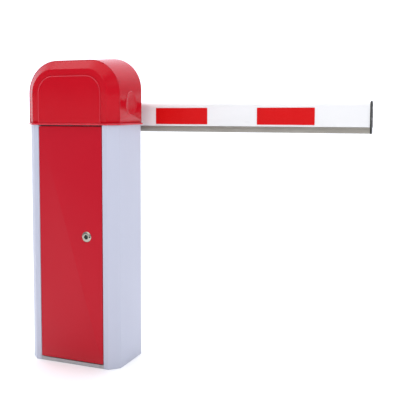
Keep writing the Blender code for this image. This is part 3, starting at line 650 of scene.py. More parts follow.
class Shape:
    """A mesh under construction; each method adds one body to it and returns the shape."""

    def __init__(self) -> None:
        """Starts empty."""
        self.mesh = bmesh.new()

    def lofted(self, rings: Sequence[Sequence[Point]]) -> "Shape":
        """Adds a body that joins closed rings of points in turn, with both ends capped.

        Args:
            rings: the closed rings, each with the same number of points.

        Returns:
            The shape itself, so that calls can follow one another.
        """
        loops = [[self.mesh.verts.new(spot) for spot in ring] for ring in rings]
        faces = [self.mesh.faces.new(loops[0]), self.mesh.faces.new(loops[-1])]
        for near, far in zip(loops, loops[1:]):
            faces += self._band(near, far)
        return self._facing(faces)

    def prism(
        self, outline: Sequence[Flat], low: float, high: float, plane: Plane = Plane.FRONT
    ) -> "Shape":
        """Stretches a flat outline from low to high across its plane."""
        return self.lofted([plane.lay(outline, low), plane.lay(outline, high)])

    def box(self, x: Flat, y: Flat, z: Flat) -> "Shape":
        """Adds a block between limits; its edges are rounded by the piece's bevel."""
        corners = [(x[0], z[0]), (x[1], z[0]), (x[1], z[1]), (x[0], z[1])]
        return self.prism(corners, y[0], y[1])

    def ring(
        self, outer: Sequence[Flat], inner: Sequence[Flat], low: float, high: float, plane: Plane
    ) -> "Shape":
        """Adds a plate with one opening, both outlines having the same number of points.

        Args:
            outer: its edge.
            inner: the edge of its opening.
            low: where it starts along the third axis.
            high: where it ends.
            plane: plane of the outlines.

        Returns:
            The shape itself, so that calls can follow one another.
        """
        loops = [
            [self.mesh.verts.new(spot) for spot in plane.lay(outline, across)]
            for outline in (outer, inner)
            for across in (low, high)
        ]
        pairs = ((0, 1), (2, 3), (0, 2), (1, 3))
        return self._facing([face for a, b in pairs for face in self._band(loops[a], loops[b])])

    def turned(
        self, profile: Sequence[Flat], at: Point = (0, 0, 0), axis: Point = (0, 0, 1), steps: int = 32
    ) -> "Shape":
        """Adds a closed (radius, along) profile turned about an axis.

        Args:
            profile: the profile; a radius of 0 closes it on the axis.
            at: where the axis starts.
            axis: direction of the axis.
            steps: sides of the circle.

        Returns:
            The shape itself, so that calls can follow one another.
        """
        lean = Vector((0, 0, 1)).rotation_difference(Vector(axis)).to_matrix().to_4x4()
        place = Matrix.Translation(Vector(at)) @ lean
        rings = []
        for radius, along in profile:
            ring = []
            for i in range(steps if radius > 0 else 1):
                angle = 2 * math.pi * i / steps
                spot = place @ Vector((radius * math.cos(angle), radius * math.sin(angle), along))
                ring.append(self.mesh.verts.new(spot))
            rings.append(ring)
        faces: list[bmesh.types.BMFace] = []
        for k, ring in enumerate(rings):
            faces += self._band(ring, rings[(k + 1) % len(rings)])
        return self._facing(faces)

    def tube(self, path: Sequence[Point], radius: float, sides: int = 10) -> "Shape":
        """Adds a round rod, wire or hose along a path.

        Args:
            path: points along its middle.
            radius: its radius.
            sides: sides of its section.

        Returns:
            The shape itself, so that calls can follow one another.
        """
        rings = []
        normal = Vector((0, 0, 1))
        last = len(path) - 1
        for k, spot in enumerate(path):
            along = (Vector(path[min(k + 1, last)]) - Vector(path[max(k - 1, 0)])).normalized()
            side = along.cross(normal)
            side = side.normalized() if side.length > 1e-3 else along.orthogonal().normalized()
            normal = side.cross(along).normalized()
            ring = []
            for i in range(sides):
                angle = 2 * math.pi * i / sides
                out = math.cos(angle) * side + math.sin(angle) * normal
                ring.append(Vector(spot) + radius * out)
            rings.append(ring)
        return self.lofted(rings)

    def bolt(self, at: Point, axis: Point, size: float, shank: float = 0.0) -> "Shape":
        """Adds a hexagon screw head on its washer, standing on a face, with a threaded shank below.

        Args:
            at: point on the face under the washer.
            axis: direction the head points in.
            size: thread diameter.
            shank: length below the face.

        Returns:
            The shape itself, so that calls can follow one another.
        """
        washer = 0.12 * size
        self.turned(disc(1.05 * size, 0, washer), at, axis, 20)
        head = Vector(at) + Vector(axis).normalized() * washer
        across = 0.98 * size
        tall = 0.66 * size
        profile = [(0, 0), (across, 0), (across, 0.52 * size), (0.80 * size, tall), (0, tall)]
        self.turned(profile, head, axis, 6)
        return self.thread(at, [-c for c in axis], size, shank) if shank else self

    def thread(self, at: Point, axis: Point, size: float, length: float) -> "Shape":
        """Adds a threaded stud whose ridges stand 1.5 mm apart.

        Args:
            at: where it starts.
            axis: direction it runs in.
            size: thread diameter.
            length: length of the stud.

        Returns:
            The shape itself, so that calls can follow one another.
        """
        profile: list[Flat] = [(0, 0)]
        turns = max(2, int(length / (1.5 * MM)))
        for i in range(turns):
            profile += [(size * 0.43, length * i / turns), (size * 0.5, length * (i + 0.5) / turns)]
        profile += [(size * 0.40, length), (0, length)]
        return self.turned(profile, at, axis, 16)

    def pin_end(self, spot: Flat) -> "Shape":
        """Adds the washer and screw at the front end of a linkage pin.

        Args:
            spot: the pin's centre, across and up.

        Returns:
            The shape itself, so that calls can follow one another.
        """
        thick = 1.2 * MM
        self.turned(disc(9 * MM, 0, -thick), (spot[0], PIN_END_Y, spot[1]), (0, 1, 0), 24)
        return self.bolt((spot[0], PIN_END_Y - thick, spot[1]), (0, -1, 0), 5 * MM)

    def bush(self, spot: Flat) -> "Shape":
        """Adds the collar of a bush in a linkage eye."""
        profile = disc(9 * MM, 0, -0.7 * MM, 6.3 * MM)
        return self.turned(profile, (spot[0], EYE_FACE_Y, spot[1]), (0, 1, 0), 28)

    def _band(
        self, near: list[bmesh.types.BMVert], far: list[bmesh.types.BMVert]
    ) -> list[bmesh.types.BMFace]:
        """Faces between two loops, either of which may be one point.

        Args:
            near: the first loop.
            far: the second loop.

        Returns:
            The new faces.
        """
        count = max(len(near), len(far))
        faces = []
        for i in range(count if count > 1 else 0):
            j = (i + 1) % count
            corners = (near[i % len(near)], near[j % len(near)], far[j % len(far)], far[i % len(far)])
            unique = list(dict.fromkeys(corners))
            if len(unique) > 2:
                faces.append(self.mesh.faces.new(unique))
        return faces

    def _facing(self, faces: list[bmesh.types.BMFace]) -> "Shape":
        """Turns a new body's faces outwards and gives the shape back."""
        bmesh.ops.recalc_face_normals(self.mesh, faces=faces)
        return self


@dataclass
class Assembly:
    """A sub-assembly whose pieces ride on one body of the frame."""

    body: str

    def put(
        self, name: str, shape: Shape, finish: Finish, hides: Iterable[str] = (), bevel: float = 0.4 * MM,
        crease: float = 35.0,
    ) -> bpy.types.Object:
        """Makes a piece of a shape, dresses it and lets it ride on the body.

        Args:
            name: the piece's name.
            shape: its mesh.
            finish: its finish.
            hides: frame nodes that it stands for.
            bevel: width of its rounded edges, 0 for none.
            crease: edges sharper than this many degrees are rounded.

        Returns:
            The piece.
        """
        mesh = bpy.data.meshes.new(name)
        shape.mesh.to_mesh(mesh)
        shape.mesh.free()
        mesh.materials.append(finish.dress())
        piece = bpy.data.objects.new(name, mesh)
        bpy.context.scene.collection.objects.link(piece)
        mesh.shade_smooth()
        mesh.set_sharp_from_angle(angle=math.radians(crease))
        if bevel:
            self.soften(piece, bevel, crease)
        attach(piece, self.body)
        if hides:
            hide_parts(*hides)
        LOG.info("%s rides on %s", name, self.body)
        return piece

    @staticmethod
    def soften(
        piece: bpy.types.Object, width: float, crease: float = 35.0, segments: int = 2
    ) -> None:
        """Rounds a piece's edges with a narrow bevel.

        Args:
            piece: the piece.
            width: width of the bevel.
            crease: edges sharper than this many degrees are rounded.
            segments: faces across the bevel.
        """
        mod = piece.modifiers.new("edges", "BEVEL")
        mod.width = width
        mod.segments = segments
        mod.limit_method = "ANGLE"
        mod.angle_limit = math.radians(crease)
        mod.harden_normals = True

    def keep(self, finish: Finish, *nodes: str, bevel: float = 0.0) -> None:
        """Keeps frame nodes in view with a better material.

        Args:
            finish: their finish.
            bevel: width of their rounded edges, 0 for none.
            nodes: the frame nodes' names.
        """
        for name in nodes:
            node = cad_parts[name]
            for place in node.material_slots:
                place.material = finish.dress()
            node.data.shade_smooth()
            node.data.set_sharp_from_angle(angle=math.radians(30))
            if bevel:
                weld = node.modifiers.new("weld", "WELD")
                weld.merge_threshold = 0.01 * MM
                self.soften(node, bevel, 40.0)
            LOG.info("%s kept in view", name)


# ---------------------------------------------------------------- cabinet


@dataclass
class Cabinet(Assembly):
    """Folded steel body on its base plate."""

    body: str = "cabinet"
    sheet: float = 2 * MM
    bend: float = 3 * MM
    corner: float = 30 * MM
    lip: float = 21 * MM
    door_half: float = 117 * MM
    box: tuple[Vector, Vector] = field(default_factory=lambda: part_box("cabinet_shell"))

    def build(self) -> None:
        """Makes the walls, the frame of the door opening and the foot."""
        self.walls()
        self.opening()
        self.deck_rails()
        self.keep(Palette.ZINC, "base_plate")
        self.keep(Palette.STEEL, "door_pin_lower", "door_pin_upper")
        self.anchors()
        self.earth_stud()

    def plan(self, inset: float) -> list[Flat]:
        """The walls' plan from one lip of the door opening round the back to the other lip.

        Args:
            inset: how far inside the outer face it runs.

        Returns:
            The plan as an open path.
        """
        low, high = self.box
        x, y = high[0] - inset, high[1] - inset
        c = self.corner - inset * (2 - math.sqrt(2))
        edge = self.door_half + inset
        half = [(edge, low[1] + self.lip), (edge, -y), (x - c, -y), (x, -y + c), (x, y - c), (x - c, y)]
        return filleted(mirrored(half), self.bend - inset / 2, closed=False)

    def walls(self) -> None:
        """Wraps the sheet round the plan and stands it up."""
        low, high = self.box
        outer = self.plan(0.0)
        inner = self.plan(self.sheet)
        shape = Shape().prism(outer + inner[::-1], low[2], high[2], Plane.PLAN)
        self.put("cabinet_walls", shape, Palette.CABINET, ["cabinet_shell"], bevel=0.3 * MM, crease=50)

    def opening(self) -> None:
        """Folded sill and head across the door opening, and the seam down the back; the head's dark red is a
        painted shadow under the hood rim, and the sill's bare zinc is partly a painted shade under the door
        leaf.
        """
        low, high = self.box
        front = low[1]
        edge = self.door_half + self.sheet * 0.5
        shape = Shape()
        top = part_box("door")[1][2] + 1.5 * MM
        shape.box((-edge, edge), (front + 0.6 * MM, front + self.sheet), (top, high[2]))
        shape.box((-edge, edge), (front + 1 * MM, front + self.lip), (top, top + 1.8 * MM))
        # The head's dark red is a painted shadow under the hood rim.
        self.put("cabinet_door_head", shape, Palette.HEAD_SHADOW, bevel=0.4 * MM)
        # The sill's darker zinc is partly a painted shade under the door leaf.
        sill = Shape().box((-edge, edge), (front + 0.6 * MM, front + self.sheet + 0.6 * MM), (0.0, 12 * MM))
        sill.box((-edge, edge), (front + 1 * MM, front + self.lip), (9.4 * MM, 12 * MM))
        self.put("cabinet_door_sill", sill, Palette.SILL, bevel=0.4 * MM)
        seam = Shape().box((-0.006, 0.006), (high[1] - 0.0005, high[1] + 0.0007), (0.004, high[2] - 0.020))
        self.put("cabinet_back_seam", seam, Palette.CABINET, bevel=0.3 * MM)

    def deck_rails(self) -> None:
        """Welded angles and their screws that carry the deck inside the side walls."""
        deck_low, deck_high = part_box("mech_deck")
        rails = Shape()
        screws = Shape()
        wall = self.box[1][0] - self.sheet
        for side in (-1, 1):
            span = side_span(side, wall - 16 * MM, wall)
            rails.box(span, (deck_low[1] + 0.006, deck_high[1] - 0.006), (0.7085, 0.7112))
            for y in (deck_low[1] + 0.018, deck_high[1] - 0.018):
                screws.bolt((side * (deck_high[0] - 0.003), y, 0.724), (-side, 0, 0), 6 * MM)
        self.put("deck_rails", rails, Palette.CABINET)
        self.put("deck_side_screws", screws, Palette.ZINC, bevel=0)

    def anchors(self) -> None:
        """Anchor bolts with thread, washer and nut."""
        for number in range(1, 5):
            name = f"anchor_bolt_{number}"
            low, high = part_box(name)
            at = ((low[0] + high[0]) / 2, (low[1] + high[1]) / 2)
            shape = Shape().thread((*at, low[2]), (0, 0, 1), 11.8 * MM, high[2] - low[2])
            shape.turned(disc(13 * MM, 0, 2.4 * MM), (*at, 8.3 * MM), steps=28)
            nut = [
                (0, 0), (9.6 * MM, 0), (11 * MM, 1.4 * MM), (11 * MM, 8.6 * MM), (9.6 * MM, 10 * MM),
                (0, 10 * MM),
            ]
            shape.turned(nut, (*at, 10.7 * MM), steps=6)
            self.put(f"anchor_{number}", shape, Palette.ZINC, [name], bevel=0)

    def earth_stud(self) -> None:
        """Brass earthing stud with nuts on the base plate."""
        at = (0.060, 0.040, 8.2 * MM)
        shape = Shape().thread(at, (0, 0, 1), 6 * MM, 18 * MM)
        for lift in (0.0, 6 * MM):
            shape.bolt((at[0], at[1], at[2] + lift), (0, 0, 1), 6 * MM)
        self.put("earth_stud", shape, Palette.BRASS, bevel=0)


@dataclass
class Door(Assembly):
    """Red door leaf with folded edges, inner stiffener, seal and lock barrel."""

    body: str = "door"
    sheet: float = 1.6 * MM
    round_edge: float = 1.2 * MM
    leaf: tuple[Vector, Vector] = field(default_factory=lambda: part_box("door"))
    barrel: tuple[Vector, Vector] = field(default_factory=lambda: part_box("lock_barrel"))

    def build(self) -> None:
        """Makes the leaf, what is behind it and the lock's fixed part."""
        self.skin()
        self.inside()
        self.bezel()

    def lock_centre(self) -> Flat:
        """Centre of the lock in the door's face."""
        low, high = self.barrel
        return ((low[0] + high[0]) / 2, (low[2] + high[2]) / 2)

    def skin(self) -> None:
        """Pan-shaped leaf: a face with a soft fold all round and returned edges."""
        low, high = self.leaf
        front, back = low[1], high[1]
        fold = self.round_edge
        profile = [(fold, front), (fold * 0.3, front + fold * 0.3), (0.0, front + fold), (0.0, back)]
        profile += [(self.sheet, back), (self.sheet, front + self.sheet)]
        rings = []
        for inset, y in profile:
            across, up = (low[0] + inset, high[0] - inset), (low[2] + inset, high[2] - inset)
            rings.append(Plane.FRONT.lay(rounded(across, up, 2.2 * MM, 4), y))
        shape = Shape().lofted(rings)
        self.put("door_leaf", shape, Palette.DOOR, ["door"], bevel=0, crease=50)

    def inside(self) -> None:
        """Stiffeners, pivot blocks and foam seal."""
        low, high = self.leaf
        braces = Shape()
        for z in (0.190, 0.610):
            self._brace(braces, z)
        self.put("door_braces", braces, Palette.DOOR, bevel=0.8 * MM)
        blocks = Shape()
        for z in ((low[2] + 2 * MM, 0.030), (0.763, high[2] - 2 * MM)):
            blocks.box((low[0] + 1 * MM, low[0] + 8.5 * MM), (low[1] + 1.6 * MM, low[1] + 8.5 * MM), z)
        self.put("door_pivot_blocks", blocks, Palette.ZINC)
        edge, width = 3 * MM, 9 * MM
        outer, inner = (
            rounded((low[0] + e, high[0] - e), (low[2] + e, high[2] - e), 4 * MM)
            for e in (edge, edge + width)
        )
        seal = Shape().ring(outer, inner, low[1] + 1.8 * MM, low[1] + 7 * MM, Plane.FRONT)
        self.put("door_foam_seal", seal, Palette.BUFFER, bevel=1.2 * MM)

    def _brace(self, shape: Shape, z: float) -> Shape:
        """Adds one hat-shaped stiffener across the leaf at a height.

        Args:
            shape: the shape that it is added to.
            z: its height.

        Returns:
            The same shape.
        """
        low, high = self.leaf
        near = low[1] + 1.8 * MM
        deep = high[1] - 6 * MM
        sheet = 1.4 * MM
        outside = [(near, -24 * MM), (near, -14 * MM), (deep, -10 * MM)]
        inside = [(deep + sheet, -11 * MM), (near + sheet, -15 * MM), (near + sheet, -24 * MM)]
        top = [(y, -lift) for y, lift in reversed(outside)]
        under = [(y, -lift) for y, lift in reversed(inside)]
        hat = [(y, z + lift) for y, lift in [*outside, *top, *under, *inside]]
        return shape.prism(hat, low[0] + 14 * MM, high[0] - 14 * MM, Plane.SIDE)

    def bezel(self) -> None:
        """Chrome bezel with a dished face, threaded body and back nut."""
        low, high = self.barrel
        x, z = self.lock_centre()
        front = low[1]
        face = self.leaf[0][1] - GAP
        radius = (high[0] - low[0]) / 2
        dome = [
            (6.6 * MM, front + 2.6 * MM), (7.0 * MM, front + 0.6 * MM), (7.8 * MM, front),
            (10.5 * MM, front + 0.35 * MM), (13.0 * MM, front + 1.1 * MM), (15.2 * MM, front + 2.4 * MM),
            (radius - 0.5 * MM, front + 3.6 * MM), (radius, face - 0.2 * MM), (radius, face),
            (10 * MM, face), (10 * MM, high[1]), (6.6 * MM, high[1]),
        ]
        shape = Shape().turned(dome, (x, 0, z), (0, 1, 0), 48)
        self.put("lock_bezel", shape, Palette.CHROME, ["lock_barrel"], bevel=0, crease=60)
        back = self.leaf[0][1] + 2 * MM
        nut = Shape().turned(disc(15 * MM, back, back + 5 * MM, 10.1 * MM), (x, 0, z), (0, 1, 0), 6)
        self.put("lock_back_nut", nut, Palette.ZINC)
        spot = (x + 12.8 * MM, front + 0.7 * MM, z)
        dot = Shape().turned(disc(2.4 * MM, -0.5 * MM, 1.6 * MM), spot, (0, 1, 0), 16)
        self.put("lock_stop_pin", dot, Palette.KEYWAY, bevel=0.2 * MM)


@dataclass
class Lock(Assembly):
    """Turning plug of the lock and its cam."""

    body: str = "lock"

    def build(self) -> None:
        """Makes the dark key plug with its slot and dresses the cam."""
        low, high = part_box("lock_plug")
        x, z = (low[0] + high[0]) / 2, (low[2] + high[2]) / 2
        radius = (high[0] - low[0]) / 2
        plug = Shape().turned(disc(radius, low[1] + 1.5 * MM, high[1]), (x, 0, z), (0, 1, 0), 36)
        self.put("lock_core", plug, Palette.KEYWAY, ["lock_plug"])
        lips = Shape()
        for near in (x - 1.9 * MM, x + 0.9 * MM):
            lips.box((near, near + 1 * MM), (low[1] + 0.9 * MM, low[1] + 1.8 * MM), (z - 4 * MM, z + 4 * MM))
        self.put("lock_key_guides", lips, Palette.KEYWAY, bevel=0.2 * MM)
        self.keep(Palette.ZINC, "lock_cam")
        screw = Shape().bolt((x, high[1], z), (0, 1, 0), 5 * MM)
        self.put("lock_cam_screw", screw, Palette.ZINC, bevel=0)


@dataclass
class Hood(Assembly):
    """Domed red hood with slanted edges, raised front panel, side bosses and a rolled rim."""

    body: str = "hood"
    wall: float = 3 * MM
    slant: float = 30 * MM
    radius: float = 105 * MM
    front_drop: float = 14 * MM
    bead: float = 3 * MM
    panel_half: float = 115.5 * MM
    panel_radius: float = 56 * MM
    panel_rise: float = 2 * MM
    boss_radius: float = 39 * MM
    boss_z: float = 855.5 * MM
    notch_half: float = 26 * MM

    def __post_init__(self) -> None:
        """Reads the hood's limits from the frame."""
        self.low, self.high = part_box("hood")
        self.half = self.high[0] - self.bead
        self.deep = self.high[1] - self.bead

    def build(self) -> None:
        """Makes the dome and everything moulded on it."""
        self.dome()
        self.panel()
        self.rim()
        self.bosses()
        self.ribs()
        self.keep(Palette.ZINC, "hood_catch_left", "hood_catch_right", bevel=0.4 * MM)
        self.catch_screws()

    def sections(self) -> list[tuple[float, list[Flat]]]:
        """The dome's arches from front to back, each with its place.

        Returns:
            Each arch with its place along Y.
        """
        rear = self.high[2]
        front = rear - self.front_drop
        rows = [
            (-self.deep, self.half - self.slant, front - self.slant, self.radius - self.slant),
            (-self.deep + self.slant, self.half, front, self.radius),
            (self.deep - self.slant, self.half, rear, self.radius),
            (self.deep, self.half - self.slant, rear - self.slant, self.radius - self.slant),
        ]
        return [(y, arch(half, top, radius, self.low[2])) for y, half, top, radius in rows]

    def dome(self) -> None:
        """Lofts the arches, closes front and back, leaves the notch and gives the wall its thickness."""
        shape = Shape()
        mesh = shape.mesh
        loops = [[mesh.verts.new((x, y, z)) for x, z in outline] for y, outline in self.sections()]
        for near, far in zip(loops, loops[1:]):
            for i in range(len(near) - 1):
                mesh.faces.new((near[i], near[i + 1], far[i + 1], far[i]))
        mesh.faces.new(loops[0])
        notch = [(-self.notch_half, self.low[2])]
        notch += [polar((0, SHAFT_Z), self.notch_half, 180 - 180 * i / 16) for i in range(17)]
        notch.append((self.notch_half, self.low[2]))
        cut = [mesh.verts.new((x, self.deep, z)) for x, z in notch]
        mesh.faces.new(loops[-1] + cut[::-1])
        bmesh.ops.recalc_face_normals(mesh, faces=mesh.faces)
        if sum(f.normal.z * f.calc_area() for f in mesh.faces) < 0:
            bmesh.ops.reverse_faces(mesh, faces=mesh.faces)
        piece = self.put("hood_dome", shape, Palette.HOOD, ["hood"], bevel=0, crease=30)
        self.soften(piece, 3 * MM, 28.0, 3)
        thick = piece.modifiers.new("wall", "SOLIDIFY")
        thick.thickness = self.wall
        thick.offset = -1.0

    def panel(self) -> None:
        """Raised front panel with a soft step all round, and thin edge lines whose paler red is a painted
        highlight.
        """
        face = -self.deep
        top = self.high[2] - self.front_drop - self.slant - 19 * MM
        low = self.low[2] + 6 * MM
        rise = self.panel_rise
        steps = [(0.0, -0.2 * MM), (0.8 * MM, 0.35 * rise), (2.4 * MM, 0.85 * rise), (4.4 * MM, rise)]

        def edge(inset: float) -> list[Flat]:
            """The panel's outline, drawn in by some width."""
            return arch(self.panel_half - inset, top - inset, self.panel_radius - inset, low + inset)

        shape = Shape().lofted([Plane.FRONT.lay(edge(inset), face - out) for inset, out in steps])
        self.put("hood_front_panel", shape, Palette.HOOD, bevel=0, crease=60)
        lines = Shape().tube(Plane.FRONT.lay(edge(2 * MM), face - rise * 0.6), 1.9 * MM, 10)
        y, outline = self.sections()[1]
        lines.tube(Plane.FRONT.lay(outline, y), 1.0 * MM, 8)
        r = self.boss_radius
        ring = [
            (r - 3.4 * MM, 1.6 * MM), (r - 1.4 * MM, 2.2 * MM), (r - 0.2 * MM, 0.8 * MM),
            (r - 0.4 * MM, -1 * MM), (r - 3.4 * MM, -1 * MM),
        ]
        for side in (-1, 1):
            lines.turned(ring, (side * self.half, 0, self.boss_z), (side, 0, 0), 56)
        # The paler red of these ridges and rings is a painted highlight.
        self.put("hood_edge_lines", lines, Palette.EDGE, bevel=0)

    def rim(self) -> None:
        """Rolled bead round the open edge, broken at the notch; its paler red is a painted highlight."""
        x, y, c = self.half, self.deep, self.slant
        plan = [
            (self.notch_half + 1 * MM, y), (x - c, y), (x, y - c), (x, -y + c), (x - c, -y),
            (-x + c, -y), (-x, -y + c), (-x, y - c), (-x + c, y), (-self.notch_half - 1 * MM, y),
        ]
        path = filleted(plan, 6 * MM, closed=False)
        centre = self.low[2] + 3.2 * MM
        shape = Shape().tube([(a * 1.003, b * 1.004, centre) for a, b in path], 3.0 * MM, 14)
        self.put("hood_rim_bead", shape, Palette.EDGE, bevel=0)

    def bosses(self) -> None:
        """Round raised boss on each side, with a shallow dish."""
        r = self.boss_radius
        profile = [
            (0, -1 * MM), (r, -1 * MM), (r, 0.2 * MM), (r - 0.5 * MM, 1.1 * MM), (r - 1.6 * MM, 1.8 * MM),
            (r - 3.2 * MM, 2 * MM), (r - 6 * MM, 1.9 * MM), (r - 8.5 * MM, 1.2 * MM),
            (r - 12 * MM, 1.0 * MM), (0, 1.0 * MM),
        ]
        shape = Shape()
        for side in (-1, 1):
            shape.turned(profile, (side * self.half, 0, self.boss_z), (side, 0, 0), 56)
        self.put("hood_side_bosses", shape, Palette.HOOD, bevel=0, crease=60)

    def ribs(self) -> None:
        """Moulded ribs inside."""
        shape = Shape()
        inner = self.half - self.wall
        for side in (-1, 1):
            for y in (-0.045, 0.0, 0.045):
                span = side_span(side, inner - 7 * MM, inner + 1 * MM)
                shape.box(span, (y - 1 * MM, y + 1 * MM), (0.836, 0.905))
        for x in (-0.050, 0.050):
            shape.box((x - 1 * MM, x + 1 * MM), (-0.070, 0.072), (0.972, 0.991))
        self.put("hood_ribs", shape, Palette.HOOD, bevel=0.5 * MM)

    def catch_screws(self) -> None:
        """Screws that hold the catches to the hood."""
        shape = Shape()
        for side, name in ((-1, "left"), (1, "right")):
            low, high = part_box(f"hood_catch_{name}")
            x = high[0] if side < 0 else low[0]
            for y in (-0.018, 0.018):
                shape.bolt((x, y, 0.812), (-side, 0, 0), 5 * MM)
        self.put("hood_catch_screws", shape, Palette.ZINC, bevel=0)


# ---------------------------------------------------------------- boom


@dataclass
class Boom(Assembly):
    """White boom with red prism film, rubber strip and end cap, its clamp, hub and shaft."""

    body: str = "boom"
    shoulder: float = 16 * MM
    wall: float = 2.5 * MM

    def build(self) -> None:
        """Makes the profile and dresses what turns with it."""
        self.profile()
        self.rubber()
        self.cap()
        self.film()
        self.clamp()
        self.keep(Palette.END, "boom_plug", bevel=0.6 * MM)
        zinc = ("boom_hub", "boom_bracket", "boom_clamp", "main_lever", "stop_arm")
        self.keep(Palette.ZINC, *zinc, bevel=0.7 * MM)
        self.keep(Palette.STEEL, "main_shaft", bevel=0.6 * MM)
        self.keep(Palette.BLACK, "limit_cam")
        self.shaft_fittings()

    def section(self, inset: float) -> list[Flat]:
        """Section of the extrusion: round shoulders, flat sides, a small bead low on each side.

        Args:
            inset: how far inside the outer face it runs.

        Returns:
            The closed outline in the YZ plane.
        """
        low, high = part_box("boom_profile")
        y0, y1 = low[1] + inset, high[1] - inset
        z0, z1 = low[2] + inset, high[2] - inset
        r = self.shoulder - inset
        step = 0.7 * MM
        right: list[Flat] = [
            (y1 - 3 * MM, z0), (y1 - 0.8 * MM, z0 + 0.5 * MM), (y1, z0 + 2 * MM), (y1, z0 + 4 * MM),
            (y1 - step, z0 + 6 * MM), (y1 - step, z1 - 24 * MM), (y1, z1 - 22 * MM), (y1, z1 - r),
        ]
        right += [polar((y1 - r, z1 - r), r, i * 9) for i in range(1, 11)]
        return mirrored(right, (y0 + y1) / 2)

    def profile(self) -> None:
        """Extrudes the profile as a hollow section."""
        low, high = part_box("boom_profile")
        shape = Shape().ring(self.section(0.0), self.section(self.wall), low[0], high[0], Plane.SIDE)
        self.put("boom_skin", shape, Palette.PROFILE, ["boom_profile"], bevel=0, crease=30)

    def rubber(self) -> None:
        """Rubber strip with two ribs along each side."""
        low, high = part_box("boom_rubber")
        y0, y1 = low[1], high[1]
        z0, z1 = low[2], high[2]
        side: list[Flat] = [
            (y1, z1), (y1, z1 - 3 * MM), (y1 - 1.2 * MM, z1 - 4 * MM), (y1 - 1.2 * MM, z1 - 6 * MM),
            (y1, z1 - 7 * MM), (y1 - 0.4 * MM, z0 + 8 * MM), (y1 - 4 * MM, z0 + 3 * MM), (y1 - 9 * MM, z0),
        ]
        shape = Shape().prism(mirrored(side, (y0 + y1) / 2), low[0], high[0], Plane.SIDE)
        self.put("boom_bumper", shape, Palette.STRIP, ["boom_rubber"], bevel=0.5 * MM)

    def cap(self) -> None:
        """End cap with a rounded face and two countersunk screws."""
        low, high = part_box("boom_cap")
        mid = (low[1] + high[1]) / 2
        neck = rounded((mid - 19 * MM, mid + 19 * MM), (low[2], 0.7850), 5 * MM, 4)
        shape = Shape().prism(self._cap_outline(low, high), low[0], high[0], Plane.SIDE)
        shape.prism(neck, low[0] + 0.2 * MM, high[0] - 0.4 * MM, Plane.SIDE)
        self.put("boom_end_cap", shape, Palette.END, ["boom_cap"], bevel=1.2 * MM)
        screws = Shape()
        for z in (0.805, 0.840):
            head = [(0, -1 * MM), (3.4 * MM, -1 * MM), (4 * MM, 0), (0, 0.0)]
            screws.turned(head, (high[0] + 0.02 * MM, mid, z), (1, 0, 0), 20)
        self.put("boom_cap_screws", screws, Palette.STEEL, bevel=0)

    @staticmethod
    def _cap_outline(low: Vector, high: Vector) -> list[Flat]:
        """The cap's outline: square at the foot, round shoulders.

        Args:
            low: lower corner of the cap's box.
            high: upper corner of the cap's box.

        Returns:
            The closed outline in the YZ plane.
        """
        r = 17.5 * MM
        y0, y1, z0, z1 = low[1], high[1], 0.7785, high[2]
        points: list[Flat] = [(y0, z0), (y1, z0)]
        points += [polar((y1 - r, z1 - r), r, i * 9) for i in range(11)]
        return points + [polar((y0 + r, z1 - r), r, 90 + i * 9) for i in range(11)]

    def film(self) -> None:
        """Red prism film with cut corners, on both faces."""
        for side in ("front", "back"):
            for number in (1, 2):
                name = f"band_{side}_{number}"
                low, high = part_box(name)
                outline = rounded((low[0], high[0]), (low[2], high[2]), 1.5 * MM, 3)
                thick = 1.1 * MM
                near = low[1] if side == "front" else high[1] - thick
                shape = Shape().prism(outline, near, near + thick)
                self.put(f"film_{side}_{number}", shape, Palette.FILM, [name], bevel=0)

    def clamp(self) -> None:
        """Clamp bolts with thread, washers and nuts."""
        for number in range(1, 5):
            name = f"clamp_bolt_{number}"
            low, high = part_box(name)
            at = ((low[0] + high[0]) / 2, (low[2] + high[2]) / 2)
            shape = Shape().thread((at[0], low[1], at[1]), (0, 1, 0), 10 * MM, high[1] - low[1] - 1 * MM)
            shape.bolt((at[0], 0.2167, at[1]), (0, 1, 0), 9.2 * MM)
            nut = [(0, 0), (9.4 * MM, 0), (9.4 * MM, 5 * MM), (8 * MM, 6 * MM), (0, 6 * MM)]
            shape.turned(nut, (at[0], 0.1498, at[1]), (0, -1, 0), 6)
            self.put(f"clamp_screw_{number}", shape, Palette.STEEL, [name], bevel=0)
        ribs = Shape()
        for x in (-0.060, 0.060):
            ribs.box((x - 3 * MM, x + 3 * MM), (0.1442, 0.1502), (0.775, 0.865))
        self.put("bracket_ribs", ribs, Palette.ZINC, bevel=0.6 * MM)
        screws = Shape()
        for degrees in range(30, 360, 60):
            x, z = polar((0, SHAFT_Z), 35 * MM, degrees)
            screws.bolt((x, 0.1360, z), (0, -1, 0), 6 * MM)
        self.put("hub_screws", screws, Palette.STEEL, bevel=0)

    def shaft_fittings(self) -> None:
        """Pin washers, lever clamp screws and retaining rings on the shaft."""
        shape = Shape()
        for reach, angle in ((CRANK_REACH, CRANK_ANGLE), (LINK_REACH, LINK_ANGLE)):
            shape.pin_end(polar((0, SHAFT_Z), reach, angle))
        shape.turned(disc(19 * MM, 0, 2 * MM), (0, -0.0465, 0.820), (0, 1, 0), 32)
        shape.bolt((0, -0.0465, 0.820), (0, -1, 0), 8 * MM)
        self.put("shaft_end_fittings", shape, Palette.STEEL, bevel=0)
        rings = Shape()
        for y in (0.0035, 0.0757):
            rings.turned(disc(21 * MM, 0, 5 * MM, 15.1 * MM), (0, y, 0.820), (0, 1, 0), 36)
        self.put("shaft_collars", rings, Palette.ZINC, bevel=0.4 * MM)


# ---------------------------------------------------------------- drive


